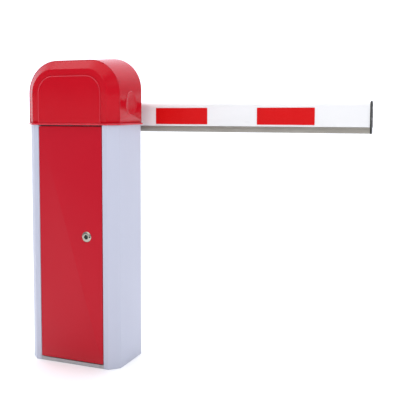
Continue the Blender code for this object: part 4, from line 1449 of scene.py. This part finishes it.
@dataclass
class Drive(Assembly):
    """Deck, bearings, gearbox and motor."""

    body: str = "cabinet"

    def build(self) -> None:
        """Makes the fixed part of the drive."""
        self.keep(Palette.ZINC, "mech_deck", bevel=0.8 * MM)
        self.keep(Palette.CAST, "bearing_front", "bearing_rear", bevel=1.2 * MM)
        self.keep(Palette.CAST, "gearbox", bevel=2.0 * MM)
        self.bearing_fittings()
        self.gearbox_fittings()
        self.motor()

    def bearing_fittings(self) -> None:
        """Ball bearing rings, foot screws and grease nipples."""
        rings = Shape()
        screws = Shape()
        nipples = Shape()
        race = [
            (15.5 * MM, -0.6 * MM), (22 * MM, -0.6 * MM), (22 * MM, 0.5 * MM), (21 * MM, 0.9 * MM),
            (17 * MM, 0.9 * MM), (15.5 * MM, 0.5 * MM),
        ]
        nipple = [
            (0, 0), (3 * MM, 0), (3 * MM, 3 * MM), (1.6 * MM, 4 * MM), (2.2 * MM, 6 * MM),
            (1.2 * MM, 8 * MM), (0, 8 * MM),
        ]
        for name in ("bearing_front", "bearing_rear"):
            low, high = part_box(name)
            middle = (low[1] + high[1]) / 2
            for y, out in ((low[1], -1), (high[1], 1)):
                rings.turned(race, (0, y, SHAFT_Z), (0, out, 0), 40)
            for x in (-0.039, 0.039):
                screws.bolt((x, middle, 0.7543), (0, 0, 1), 8 * MM)
            nipples.turned(nipple, (0, middle, high[2]), (0, 0, 1), 16)
        self.put("bearing_rings", rings, Palette.STEEL, bevel=0)
        self.put("bearing_screws", screws, Palette.ZINC, bevel=0)
        self.put("grease_nipples", nipples, Palette.BRASS, bevel=0)

    def gearbox_fittings(self) -> None:
        """Cover ribs and screws, seal ring, oil plug and sight glass."""
        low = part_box("gearbox")[0]
        front, middle = -18 * MM, 0.020
        ribs = Shape()
        for i in range(8):
            degrees = i * 45 + 22.5
            start, end = (Vector(polar((0, 0), reach, degrees)) for reach in (31 * MM, 43 * MM))
            side = Vector(polar((0, 0), 1.6 * MM, degrees + 90))
            corners = [start - side, end - side, end + side, start + side]
            ribs.prism([(c.x, OUTPUT_Z + c.y) for c in corners], front - 2.6 * MM, front + 0.5 * MM)
        self.put("gearbox_ribs", ribs, Palette.CAST, bevel=0.6 * MM)
        screws = Shape()
        for x in (-0.041, 0.041):
            for z in (0.624, 0.716):
                screws.bolt((x, front, z), (0, -1, 0), 6 * MM)
        for x in (-0.065, 0.065):
            for y in (middle - 20 * MM, middle + 20 * MM):
                screws.bolt((x, y, low[2] + 127.5 * MM), (0, 0, -1), 7 * MM)
        for degrees in range(45, 360, 90):
            screws.bolt((*polar((0, middle), 36 * MM, degrees), 0.6178), (0, 0, 1), 5 * MM)
        self.put("gearbox_screws", screws, Palette.ZINC, bevel=0)
        lip = [(10.9 * MM, 0), (17 * MM, 0), (17 * MM, -1 * MM), (10.9 * MM, -1.4 * MM)]
        seal = Shape().turned(lip, (0, -26.6 * MM, OUTPUT_Z), (0, 1, 0), 36)
        self.put("output_seal", seal, Palette.BUFFER, bevel=0)
        plugs = Shape().bolt((52 * MM, middle, 0.690), (1, 0, 0), 10 * MM)
        glass = [
            (0, 0), (8 * MM, 0), (8 * MM, 3 * MM), (6 * MM, 3.4 * MM), (5.5 * MM, 2 * MM), (0, 2 * MM),
        ]
        plugs.turned(glass, (52 * MM, middle, 0.650), (1, 0, 0), 28)
        self.put("oil_plugs", plugs, Palette.BRASS, bevel=0)

    def motor(self) -> None:
        """Finned motor body between two end bells, and its tie bolts."""
        low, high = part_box("motor")
        middle = centre_of("motor")[:2]
        fins = []
        count = 30
        root, tip = 34 * MM, 38 * MM
        for i in range(count):
            for share, radius in ((0.0, root), (0.18, tip), (0.52, tip), (0.70, root)):
                fins.append(polar(middle, radius, 360 * (i + share) / count))
        body = Shape().prism(fins, 0.478, 0.578, Plane.PLAN)
        self.put("motor_fins", body, Palette.MOTOR, ["motor"], bevel=0.4 * MM)
        upper = [
            (0, 0.5775), (38.5 * MM, 0.5775), (40 * MM, 0.580), (40 * MM, 0.590), (42 * MM, 0.592),
            (42 * MM, high[2]), (0, high[2]),
        ]
        lower = [
            (9 * MM, low[2]), (22 * MM, low[2]), (32 * MM, 0.458), (38.5 * MM, 0.466),
            (38.5 * MM, 0.4785), (9 * MM, 0.4785),
        ]
        bells = Shape().turned(upper, (*middle, 0), steps=48).turned(lower, (*middle, 0), steps=48)
        self.put("motor_end_bells", bells, Palette.CAST, bevel=0.8 * MM)
        ties = Shape()
        for degrees in range(45, 360, 90):
            ties.bolt((*polar(middle, 35.5 * MM, degrees), 0.4665), (0, 0, -1), 4 * MM)
        self.put("motor_tie_screws", ties, Palette.ZINC, bevel=0)
        self.motor_wiring(*middle)

    def motor_wiring(self, cx: float, cy: float) -> None:
        """Terminal box, its gland, and the loom down to a gland on the control housing.

        Args:
            cx: the motor's centre along X.
            cy: the motor's centre along Y.
        """
        x, floor = cx + 45 * MM, 0.500
        terminal = Shape().box((cx + 34 * MM, cx + 56 * MM), (cy - 18 * MM, cy + 18 * MM), (floor, 0.556))
        self.put("motor_terminal_box", terminal, Palette.BLACK, bevel=2.0 * MM)
        profile = gland_profile(9 * MM, 7 * MM, 5 * MM)
        gland = Shape().turned(profile, (x, cy, floor), (0, 0, -1), 20)
        self.put("motor_gland", gland, Palette.GREY, bevel=0)
        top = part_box("control_housing")[1][2]
        start, end = Vector((x, cy, floor - 12 * MM)), Vector((0.085, 0.082, top + 10 * MM))
        bends = (start, start - Vector((0, 0, 0.045)), end + Vector((0, 0, 0.055)), end)
        loom = Shape().tube(interpolate_bezier(*bends, 28), 4.2 * MM, 12)
        self.put("motor_loom", loom, Palette.LOOM, bevel=0)
        gland = Shape().turned(profile, (end.x, end.y, top), (0, 0, 1), 20)
        self.put("housing_top_gland", gland, Palette.BLACK, bevel=0)


@dataclass
class Crank(Assembly):
    """Crank arm made in one with the output shaft."""

    body: str = "crank"

    def build(self) -> None:
        """Dresses the crank and adds its pin washer."""
        self.keep(Palette.ZINC, "crank_arm", bevel=0.8 * MM)
        shape = Shape().pin_end(polar((0, OUTPUT_Z), CRANK_REACH, CRANK_ANGLE))
        shape.bolt((0, -0.0430, OUTPUT_Z), (0, -1, 0), 7 * MM)
        self.put("crank_fittings", shape, Palette.STEEL, bevel=0)


@dataclass
class Rod(Assembly):
    """Connecting rod with bronze bushes and lock nuts."""

    body: str = "connecting_rod"

    def build(self) -> None:
        """Dresses the rod, adds bushes in its eyes and the turnbuckle nuts."""
        self.keep(Palette.ZINC, "connecting_rod", bevel=0.8 * MM)
        bushes = Shape()
        for height in (SHAFT_Z, OUTPUT_Z):
            bushes.bush(polar((0, height), CRANK_REACH, CRANK_ANGLE))
        self.put("rod_bushes", bushes, Palette.BRASS, bevel=0)
        nuts = Shape()
        x = polar((0, 0), CRANK_REACH, CRANK_ANGLE)[0]
        for z in (0.665, 0.725):
            nuts.turned(disc(9 * MM, 0, 7 * MM), (x, -0.048, z), (0, 0, 1), 6)
        self.put("rod_lock_nuts", nuts, Palette.STEEL, bevel=0.6 * MM)


@dataclass
class Handwheel(Assembly):
    """Red wheel for moving the boom by hand."""

    body: str = "handwheel"

    def build(self) -> None:
        """Makes a gripped rim on four spokes."""
        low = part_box("handwheel")[0]
        middle = centre_of("handwheel")[:2]
        cx, cy = middle
        rim, grip, bore, count = 30 * MM, 0.9 * MM, 22 * MM, 96
        outer = [polar(middle, rim - (grip if i % 6 > 3 else 0.0), 360 * i / count) for i in range(count)]
        inner = [polar(middle, bore, 360 * i / count) for i in range(count)]
        shape = Shape().ring(outer, inner, 0.430, 0.442, Plane.PLAN)
        shape.turned(disc(8 * MM, low[2], 0.4510), (cx, cy, 0), steps=28)
        for x, y in ((22.6 * MM, 3 * MM), (3 * MM, 22.6 * MM)):
            shape.box((cx - x, cx + x), (cy - y, cy + y), (0.433, 0.439))
        self.put("hand_wheel", shape, Palette.WHEEL, ["handwheel"], bevel=0.8 * MM)
        screw = Shape().bolt((cx, cy, low[2]), (0, 0, -1), 5 * MM)
        self.put("hand_wheel_screw", screw, Palette.ZINC, bevel=0)


# ---------------------------------------------------------------- springs and stops

# Tapered plug that is screwed into each end of a spring.
SPRING_PLUG = [(0, 0), (7.2 * MM, 0), (6.2 * MM, 18 * MM), (0, 20 * MM)]


@dataclass
class Springs(Assembly):
    """Two balance springs, their screws and the bracket under them."""

    body: str = "cabinet"
    wire: float = 2.4 * MM
    coil: float = 10.4 * MM
    turns: int = 46
    close: float = 3.0
    steps: int = 14
    travel: float = 2 * LINK_REACH * math.sin(math.radians(45))

    def build(self) -> None:
        """Dresses the hanger, adds its screws and makes the coils."""
        self.keep(Palette.ZINC, "spring_hanger", bevel=0.8 * MM)
        rivets = Shape()
        low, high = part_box("spring_hanger")
        for z in (low[2] + 12 * MM, high[2] - 10 * MM):
            rivets.bolt((low[0] + 4 * MM, -0.028, z), (1, 0, 0), 6 * MM)
        self.put("hanger_screws", rivets, Palette.ZINC, bevel=0)
        for side in ("left", "right"):
            self.spring(side)

    def spring(self, side: str) -> None:
        """Winds one spring with close end turns and screws its plug on the tension screw.

        Args:
            side: left or right.
        """
        low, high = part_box(f"spring_{side}")
        cx, cy = centre_of(f"spring_{side}")[:2]
        bottom, top = low[2] + self.wire, high[2] - self.wire
        path = []
        for i in range(self.turns * self.steps + 1):
            turn = i / self.steps
            edge = min(turn, self.turns - turn)
            radius = self.coil * min(1.0, 0.80 + 0.2 * edge / 1.5)
            spot = polar((cx, cy), radius, 360 * turn)
            path.append((*spot, bottom + (top - bottom) * self.climb(turn)))
        coil = Shape().tube(path, self.wire, 8)
        piece = self.put(f"coil_{side}", coil, Palette.WIRE, [f"spring_{side}"], bevel=0)
        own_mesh(piece)
        foot, tip = (corner[2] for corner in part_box(f"spring_screw_{side}"))
        screw = Shape().thread((cx, cy, foot), (0, 0, 1), 8 * MM, tip - foot)
        for z in (0.1417, 0.1330):
            screw.turned(disc(8 * MM, 0, 7.6 * MM), (cx, cy, z), (0, 0, 1), 6)
        screw.turned(SPRING_PLUG, (cx, cy, tip), (0, 0, 1), 24)
        self.put(f"tension_screw_{side}", screw, Palette.STEEL, [f"spring_screw_{side}"], bevel=0.3 * MM)

    def climb(self, turn: float) -> float:
        """Share of the spring's height reached after some turns, the end turns lying close.

        Args:
            turn: turns from the foot.

        Returns:
            The share, from 0 to 1.
        """
        tight = 0.35
        whole = self.turns - 2 * self.close + 2 * self.close * tight
        if turn < self.close:
            return turn * tight / whole
        if turn > self.turns - self.close:
            return 1 - (self.turns - turn) * tight / whole
        return (self.close * tight + turn - self.close) / whole


@dataclass
class SpringLink(Assembly):
    """Pull bar and crossbar that carry the springs' upper ends."""

    body: str = "spring_link"

    def build(self) -> None:
        """Dresses the bars and adds the upper spring plugs."""
        self.keep(Palette.ZINC, "spring_link", "spring_yoke", bevel=0.8 * MM)
        plugs = Shape()
        for side in ("left", "right"):
            cx, cy = centre_of(f"spring_{side}")[:2]
            plugs.turned(SPRING_PLUG, (cx, cy, 0.5880), (0, 0, -1), 24)
            plugs.bolt((cx, cy, 0.6000), (0, 0, 1), 7 * MM)
        self.put("spring_top_plugs", plugs, Palette.STEEL, bevel=0)
        bush = Shape().bush(polar((0, SHAFT_Z), LINK_REACH, LINK_ANGLE))
        self.put("link_bush", bush, Palette.BRASS, bevel=0)


@dataclass
class Stops(Assembly):
    """Buffer brackets, rubber buffers and limit switches on the deck."""

    body: str = "cabinet"

    def build(self) -> None:
        """Makes both sides."""
        self.keep(Palette.ZINC, "stop_bracket_left", "stop_bracket_right", bevel=0.7 * MM)
        screws = Shape()
        for side, name in ((-1, "left"), (1, "right")):
            self.buffer(side, name)
            self.switch(side, name)
            for y in (0.010, 0.026):
                screws.bolt((side * 0.058, y, 0.7463), (0, 0, 1), 5 * MM)
        self.put("stop_screws", screws, Palette.ZINC, bevel=0)

    def buffer(self, side: int, name: str) -> None:
        """One grooved rubber buffer with its plate and nut.

        Args:
            side: -1 for left, 1 for right.
            name: left or right.
        """
        low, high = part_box(f"stop_buffer_{name}")
        x = low[0] if side < 0 else high[0]
        at = (x, *centre_of(f"stop_buffer_{name}")[1:])
        length = high[0] - low[0]
        r = 9 * MM
        profile = [
            (0, 0), (r, 0), (r, 0.30 * length), (r - 1.4 * MM, 0.38 * length),
            (r - 1.4 * MM, 0.46 * length), (r, 0.54 * length), (r, 0.86 * length),
            (r - 1.5 * MM, 0.96 * length), (r - 4 * MM, length), (0, length),
        ]
        piece = Shape().turned(profile, at, (-side, 0, 0), 32)
        self.put(f"buffer_{name}", piece, Palette.BUFFER, [f"stop_buffer_{name}"], bevel=0)
        nut = Shape().bolt((side * 0.0800, at[1], at[2]), (side, 0, 0), 7 * MM)
        self.put(f"buffer_nut_{name}", nut, Palette.ZINC, bevel=0)

    def switch(self, side: int, name: str) -> None:
        """One lever switch: case with its seam, lever, roller and screws.

        Args:
            side: -1 for left, 1 for right.
            name: left or right.
        """
        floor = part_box(f"limit_switch_{name}")[0][2]
        axle = (side * 40 * MM, 0.046, 0.8100)
        case = Shape()
        for y in ((0.0382, 0.0457), (0.0463, 0.0538)):
            case.box(side_span(side, 40 * MM, 68 * MM), y, (floor, 0.7895))
        self.put(f"switch_case_{name}", case, Palette.BLACK, [f"limit_switch_{name}"], bevel=0.8 * MM)
        arm = [(side * 60 * MM, axle[1], 0.7900), (side * 52 * MM, axle[1], 0.7960), axle]
        lever = Shape().tube(arm, 1.6 * MM, 8)
        lever.turned(disc(2.2 * MM, -5 * MM, 5 * MM), axle, (0, 1, 0), 16)
        self.put(f"switch_lever_{name}", lever, Palette.STEEL, bevel=0)
        roller = Shape().turned(disc(6.5 * MM, -3.6 * MM, 3.6 * MM, 2.3 * MM), axle, (0, 1, 0), 28)
        self.put(f"switch_roller_{name}", roller, Palette.GREY, bevel=0.4 * MM)
        screws = Shape()
        for z in (0.752, 0.780):
            screws.bolt((side * 0.054, 0.0381, z), (0, -1, 0), 3.2 * MM)
        self.put(f"switch_screws_{name}", screws, Palette.ZINC, bevel=0)


# ---------------------------------------------------------------- electrics


@dataclass
class Electrics(Assembly):
    """Control housing with its board, run capacitor and terminal rail."""

    body: str = "cabinet"

    def build(self) -> None:
        """Makes all of the wiring parts."""
        self.keep(Palette.GREY, "control_housing", bevel=0.8 * MM)
        self.keep(Palette.LID, "control_lid", bevel=1.2 * MM)
        self.lid_details()
        self.board()
        self.capacitor()
        self.rail()
        self.looms()

    def lid_details(self) -> None:
        """Corner screws, a raised field and two indicator lenses on the lid."""
        low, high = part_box("control_lid")
        screws = Shape()
        head = [(0, -0.6 * MM), (4 * MM, -0.6 * MM), (4 * MM, 0.9 * MM), (3 * MM, 1.6 * MM), (0, 1.6 * MM)]
        for x in (low[0] + 9 * MM, high[0] - 9 * MM):
            for z in (low[2] + 9 * MM, high[2] - 9 * MM):
                screws.turned(head, (x, low[1], z), (0, -1, 0), 20)
        self.put("lid_screws", screws, Palette.STEEL, bevel=0)
        area = rounded((low[0] + 24 * MM, high[0] - 24 * MM), (low[2] + 26 * MM, high[2] - 50 * MM), 6 * MM)
        raised = Shape().prism(area, low[1] - 1 * MM, low[1] + 0.5 * MM)
        self.put("lid_field", raised, Palette.LID, bevel=0.5 * MM)
        bulge = [(0, 0), (4 * MM, 0), (3.6 * MM, 1.6 * MM), (2 * MM, 2.6 * MM), (0, 2.9 * MM)]
        for x, finish, name in ((0.020, Palette.GREEN, "run"), (0.060, Palette.YELLOW, "fault")):
            lens = Shape().turned(bulge, (x, low[1], high[2] - 28 * MM), (0, -1, 0), 24)
            self.put(f"lid_lens_{name}", lens, finish, bevel=0)

    def board(self) -> None:
        """Circuit board with relays, transformer, capacitors, terminals and small parts."""
        low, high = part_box("circuit_board")
        left, foot, top = low[0], low[2], high[2]
        face = high[1] - 1.6 * MM
        plate = Shape().box((left, high[0]), (face, high[1]), (foot, top))
        self.put("board_plate", plate, Palette.BOARD, ["circuit_board"], bevel=0)
        relays = Shape()
        for i in range(3):
            x = left + 74 * MM + i * 22 * MM
            relays.box((x, x + 18 * MM), (face - 15 * MM, face), (top - 46 * MM, top - 20 * MM))
        self.put("board_relays", relays, Palette.BLUE, bevel=0.6 * MM)
        across, up = (left + 10 * MM, left + 48 * MM), (top - 58 * MM, top - 13 * MM)
        core = Shape().box(across, (face - 21 * MM, face), up)
        self.put("board_transformer", core, Palette.YELLOW, bevel=1.0 * MM)
        cans = Shape()
        for z, r, places in ((0.262, 7 * MM, (0.046, 0.064)), (0.280, 5 * MM, (0.085, 0.098))):
            can = [(0, 0), (r, 0), (r, 15 * MM), (r - 0.8 * MM, 16 * MM), (0, 16 * MM)]
            for x in places:
                cans.turned(can, (x, face, z), (0, -1, 0), 24)
        self.put("board_capacitors", cans, Palette.BLACK, bevel=0)
        self.board_terminals(left, foot, face)
        self.board_chips(left, foot, face)

    def board_terminals(self, left: float, foot: float, face: float) -> None:
        """Row of twelve screw terminals along the board's foot.

        Args:
            left: the board's left edge.
            foot: the board's lower edge.
            face: the face that the parts stand on.
        """
        blocks = Shape()
        screws = Shape()
        front = face - 11 * MM
        for i in range(12):
            x = left + 7 * MM + i * 11 * MM
            blocks.box((x, x + 10.4 * MM), (front, face), (foot + 4 * MM, foot + 18 * MM))
            spot = (x + 5.2 * MM, front, foot + 13 * MM)
            screws.turned(disc(2.4 * MM, 0, 0.7 * MM), spot, (0, -1, 0), 14)
        self.put("board_terminals", blocks, Palette.GREEN, bevel=0.5 * MM)
        self.put("board_terminal_screws", screws, Palette.STEEL, bevel=0)

    def board_chips(self, left: float, foot: float, face: float) -> None:
        """Four chips and two rows of resistors.

        Args:
            left: the board's left edge.
            foot: the board's lower edge.
            face: the face that the parts stand on.
        """
        chips = Shape()
        places = ((0.004, 0.268, 22, 9), (0.004, 0.252, 14, 7), (0.030, 0.300, 9, 9), (-0.022, 0.268, 8, 20))
        for x, z, wide, tall in places:
            chips.box((x, x + wide * MM), (face - 3 * MM, face), (z, z + tall * MM))
        self.put("board_chips", chips, Palette.BLACK, bevel=0.3 * MM)
        small = Shape()
        barrel = [(0, -3 * MM), (1.1 * MM, -2.6 * MM), (1.1 * MM, 2.6 * MM), (0, 3 * MM)]
        for i in range(14):
            spot = (left + 12 * MM + (i % 7) * 7 * MM, face - 1 * MM, foot + 26 * MM + (i // 7) * 5 * MM)
            small.turned(barrel, spot, (1, 0, 0), 10)
        self.put("board_resistors", small, Palette.BRASS, bevel=0)

    def capacitor(self) -> None:
        """Run capacitor: rolled can, lid with two blades, and its clip."""
        low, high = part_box("capacitor")
        cx, r = (low[0] + high[0]) / 2, 20 * MM
        cy = low[1] + r
        foot, top = low[2], high[2]
        can = [
            (0, foot), (r - 1 * MM, foot), (r, foot + 1 * MM), (r, top - 4 * MM), (r - 1 * MM, top - 3 * MM),
            (r - 1 * MM, top - 1 * MM), (r - 3 * MM, top - 1 * MM), (r - 3 * MM, top - 2 * MM),
            (0, top - 2 * MM),
        ]
        body = Shape().turned(can, (cx, cy, 0), steps=48)
        self.put("run_capacitor", body, Palette.BLACK, ["capacitor"], bevel=0)
        blades = Shape()
        for x in (cx - 6 * MM, cx + 6 * MM):
            thick = (cy - 0.4 * MM, cy + 0.4 * MM)
            blades.box((x - 3 * MM, x + 3 * MM), thick, (top - 2.5 * MM, top + 7 * MM))
        self.put("capacitor_blades", blades, Palette.BRASS, bevel=0.15 * MM)
        band = disc(r + 1.2 * MM, 0, 14 * MM, r + 0.1 * MM)
        clip = Shape().turned(band, (cx, cy, foot + 32 * MM), (0, 0, 1), 48)
        clip.box((low[0], high[0]), (cy + r - 1 * MM, high[1]), (foot + 30 * MM, foot + 50 * MM))
        self.put("capacitor_clip", clip, Palette.ZINC, bevel=0.3 * MM)

    def rail(self) -> None:
        """Hat rail with sixteen terminals, alternating in colour, and their screws."""
        low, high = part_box("terminal_strip")
        back, front, sheet = high[1], 0.0965, 1 * MM
        centre, brim, crown = 0.141, 14.5 * MM, 9.5 * MM
        half = [
            (back, -brim), (back - sheet, -brim), (back - sheet, -crown), (front, -crown), (front, -brim),
            (front - sheet, -brim),
        ]
        other = [(y, -lift) for y, lift in reversed(half)]
        hat = [(y, centre + lift) for y, lift in [*half, *other]]
        rail = Shape().prism(hat, low[0], high[0], Plane.SIDE)
        self.put("hat_rail", rail, Palette.ZINC, ["terminal_strip"], bevel=0.3 * MM)
        slope = [
            (0.0955, 0.127), (0.084, 0.127), (0.080, 0.133), (0.0785, 0.138), (0.0785, 0.144),
            (0.080, 0.149), (0.084, 0.155), (0.0955, 0.155),
        ]
        pattern = (0, 0, 0, 0, 0, 0, 1, 2) * 2
        screws = Shape()
        for kind, finish in enumerate((Palette.GREY, Palette.BLUE, Palette.GREEN)):
            blocks = Shape()
            for i in (i for i, each in enumerate(pattern) if each == kind):
                x = low[0] + 10 * MM + i * 9.5 * MM
                blocks.prism(slope, x, x + 8.8 * MM, Plane.SIDE)
                for z in (0.1325, 0.1495):
                    spot = (x + 4.4 * MM, 0.0812, z)
                    screws.turned(disc(2.2 * MM, 0, 0.8 * MM), spot, (0, -1, 0), 12)
            self.put(f"rail_terminals_{kind + 1}", blocks, finish, bevel=0.4 * MM)
        self.put("rail_screws", screws, Palette.STEEL, bevel=0)

    def looms(self) -> None:
        """Short looms clipped to the back wall between housing and rail, with their glands."""
        glands = Shape()
        looms = Shape()
        clips = Shape()
        for i in range(4):
            x = -0.010 + i * 0.030
            gland = gland_profile(8 * MM, 6.4 * MM, 4.6 * MM)
            glands.turned(gland, (x, 0.092, 0.2000), (0, 0, -1), 20)
            drop = [(0.092, 0.189), (0.093, 0.178), (0.092, 0.168), (0.090, 0.1545)]
            looms.tube(Plane.SIDE.lay(drop, x), 3.0 * MM, 10)
            clips.box((x - 5 * MM, x + 5 * MM), (0.0895, 0.1050), (0.1700, 0.1760))
        self.put("housing_glands", glands, Palette.BLACK, bevel=0)
        self.put("housing_looms", looms, Palette.LOOM, bevel=0)
        self.put("loom_clips", clips, Palette.GREY, bevel=0.6 * MM)


# ---------------------------------------------------------------- studio


@dataclass
class Studio:
    """Pale floor, soft lights and the camera."""

    eye: tuple[float, float, float] = (1.1848, -2.0715, 0.8257)
    yaw: float = 0.40376
    pitch: float = -0.07769
    lens: float = 63.68
    shift: Flat = (0.0786, -0.0812)
    floor_reach: float = 400.0
    bright_side: tuple[float, float, float] = (-0.45, 0.75, 0.48)
    bright: float = 1.6
    dim: float = 0.42
    lamp_size: float = 1.6
    sky_spread: float = 70.0
    sky_power: float = 1.8

    def build(self) -> None:
        """Sets the whole studio."""
        self.floor()
        self.world()
        self.lights()
        self.camera()

    def floor(self) -> None:
        """Flat white floor."""
        reach = self.floor_reach
        mesh = bmesh.new()
        corners = ((-reach, -reach), (reach, -reach), (reach, reach), (-reach, reach))
        mesh.faces.new([mesh.verts.new((x, y, -0.2 * MM)) for x, y in corners])
        data = bpy.data.meshes.new("studio_floor")
        mesh.to_mesh(data)
        mesh.free()
        data.materials.append(Palette.PAPER.dress())
        floor = bpy.data.objects.new("studio_floor", data)
        bpy.context.scene.collection.objects.link(floor)

    def world(self) -> None:
        """White surroundings behind and above that light the front less, with a plain white backdrop."""
        world = bpy.data.worlds.new("studio")
        world.use_nodes = True
        tree = world.node_tree
        towards = add_node(tree, "TexCoord").outputs["Generated"]
        slope = add_node(tree, "VectorMath", {0: towards, 1: self.bright_side}, operation="DOT_PRODUCT")
        limits = {"Value": slope.outputs["Value"], 1: 0.42, 2: 0.78, 3: self.dim, 4: self.bright}
        glow = add_node(tree, "MapRange", limits, interpolation_type="SMOOTHSTEP")
        background = tree.nodes["Background"]
        background.inputs["Color"].default_value = linear("EFF2FF")
        seen = add_node(tree, "LightPath").outputs["Is Camera Ray"]
        strength = add_node(tree, "Math", {0: glow.outputs[0], 1: seen}, operation="MAXIMUM")
        tree.links.new(strength.outputs[0], background.inputs["Strength"])
        bpy.context.scene.world = world
        bpy.context.scene.view_settings.view_transform = "Standard"

    def lights(self) -> None:
        """A broad top light, a front key and a soft side fill."""
        lamps = (("key_light", (0.4, -3.2, 3.0), 23.0), ("side_light", (3.4, -0.8, 2.8), 18.0))
        for name, at, power in lamps:
            data = bpy.data.lights.new(name, "AREA")
            data.shape = "DISK"
            data.size = self.lamp_size
            data.energy = power
            self.lamp(data, at)
        sky = bpy.data.lights.new("top_light", "SUN")
        sky.angle = math.radians(self.sky_spread)
        sky.energy = self.sky_power
        self.lamp(sky, (0.0, 0.0, 4.0))

    @staticmethod
    def lamp(data: bpy.types.Light, at: Point) -> None:
        """Hangs a lamp that shines at the middle of the cabinet.

        Args:
            data: the lamp's own settings.
            at: where it hangs.
        """
        lamp = bpy.data.objects.new(data.name, data)
        lamp.location = at
        lamp.rotation_euler = (Vector((0.0, 0.0, 0.4)) - Vector(at)).to_track_quat("-Z", "Y").to_euler()
        bpy.context.scene.collection.objects.link(lamp)

    def camera(self) -> None:
        """Camera at eye height in front and to the right of the cabinet."""
        data = bpy.data.cameras.new("camera")
        data.lens = self.lens
        data.sensor_width = 36.0
        data.shift_x, data.shift_y = self.shift
        camera = bpy.data.objects.new("camera", data)
        camera.location = self.eye
        camera.rotation_euler = (math.pi / 2 + self.pitch, 0.0, self.yaw)
        bpy.context.scene.collection.objects.link(camera)
        bpy.context.scene.camera = camera


def main() -> None:
    """Builds every sub-assembly in order, then the studio."""
    logging.basicConfig(level=logging.INFO, format="%(message)s")
    parts = (
        Cabinet, Door, Lock, Hood, Boom, Drive, Crank, Rod, Handwheel, Springs, SpringLink, Stops,
        Electrics, Studio,
    )
    for kind in parts:
        LOG.info("building %s", kind.__name__)
        kind().build()


if __name__ == "__main__":
    main()
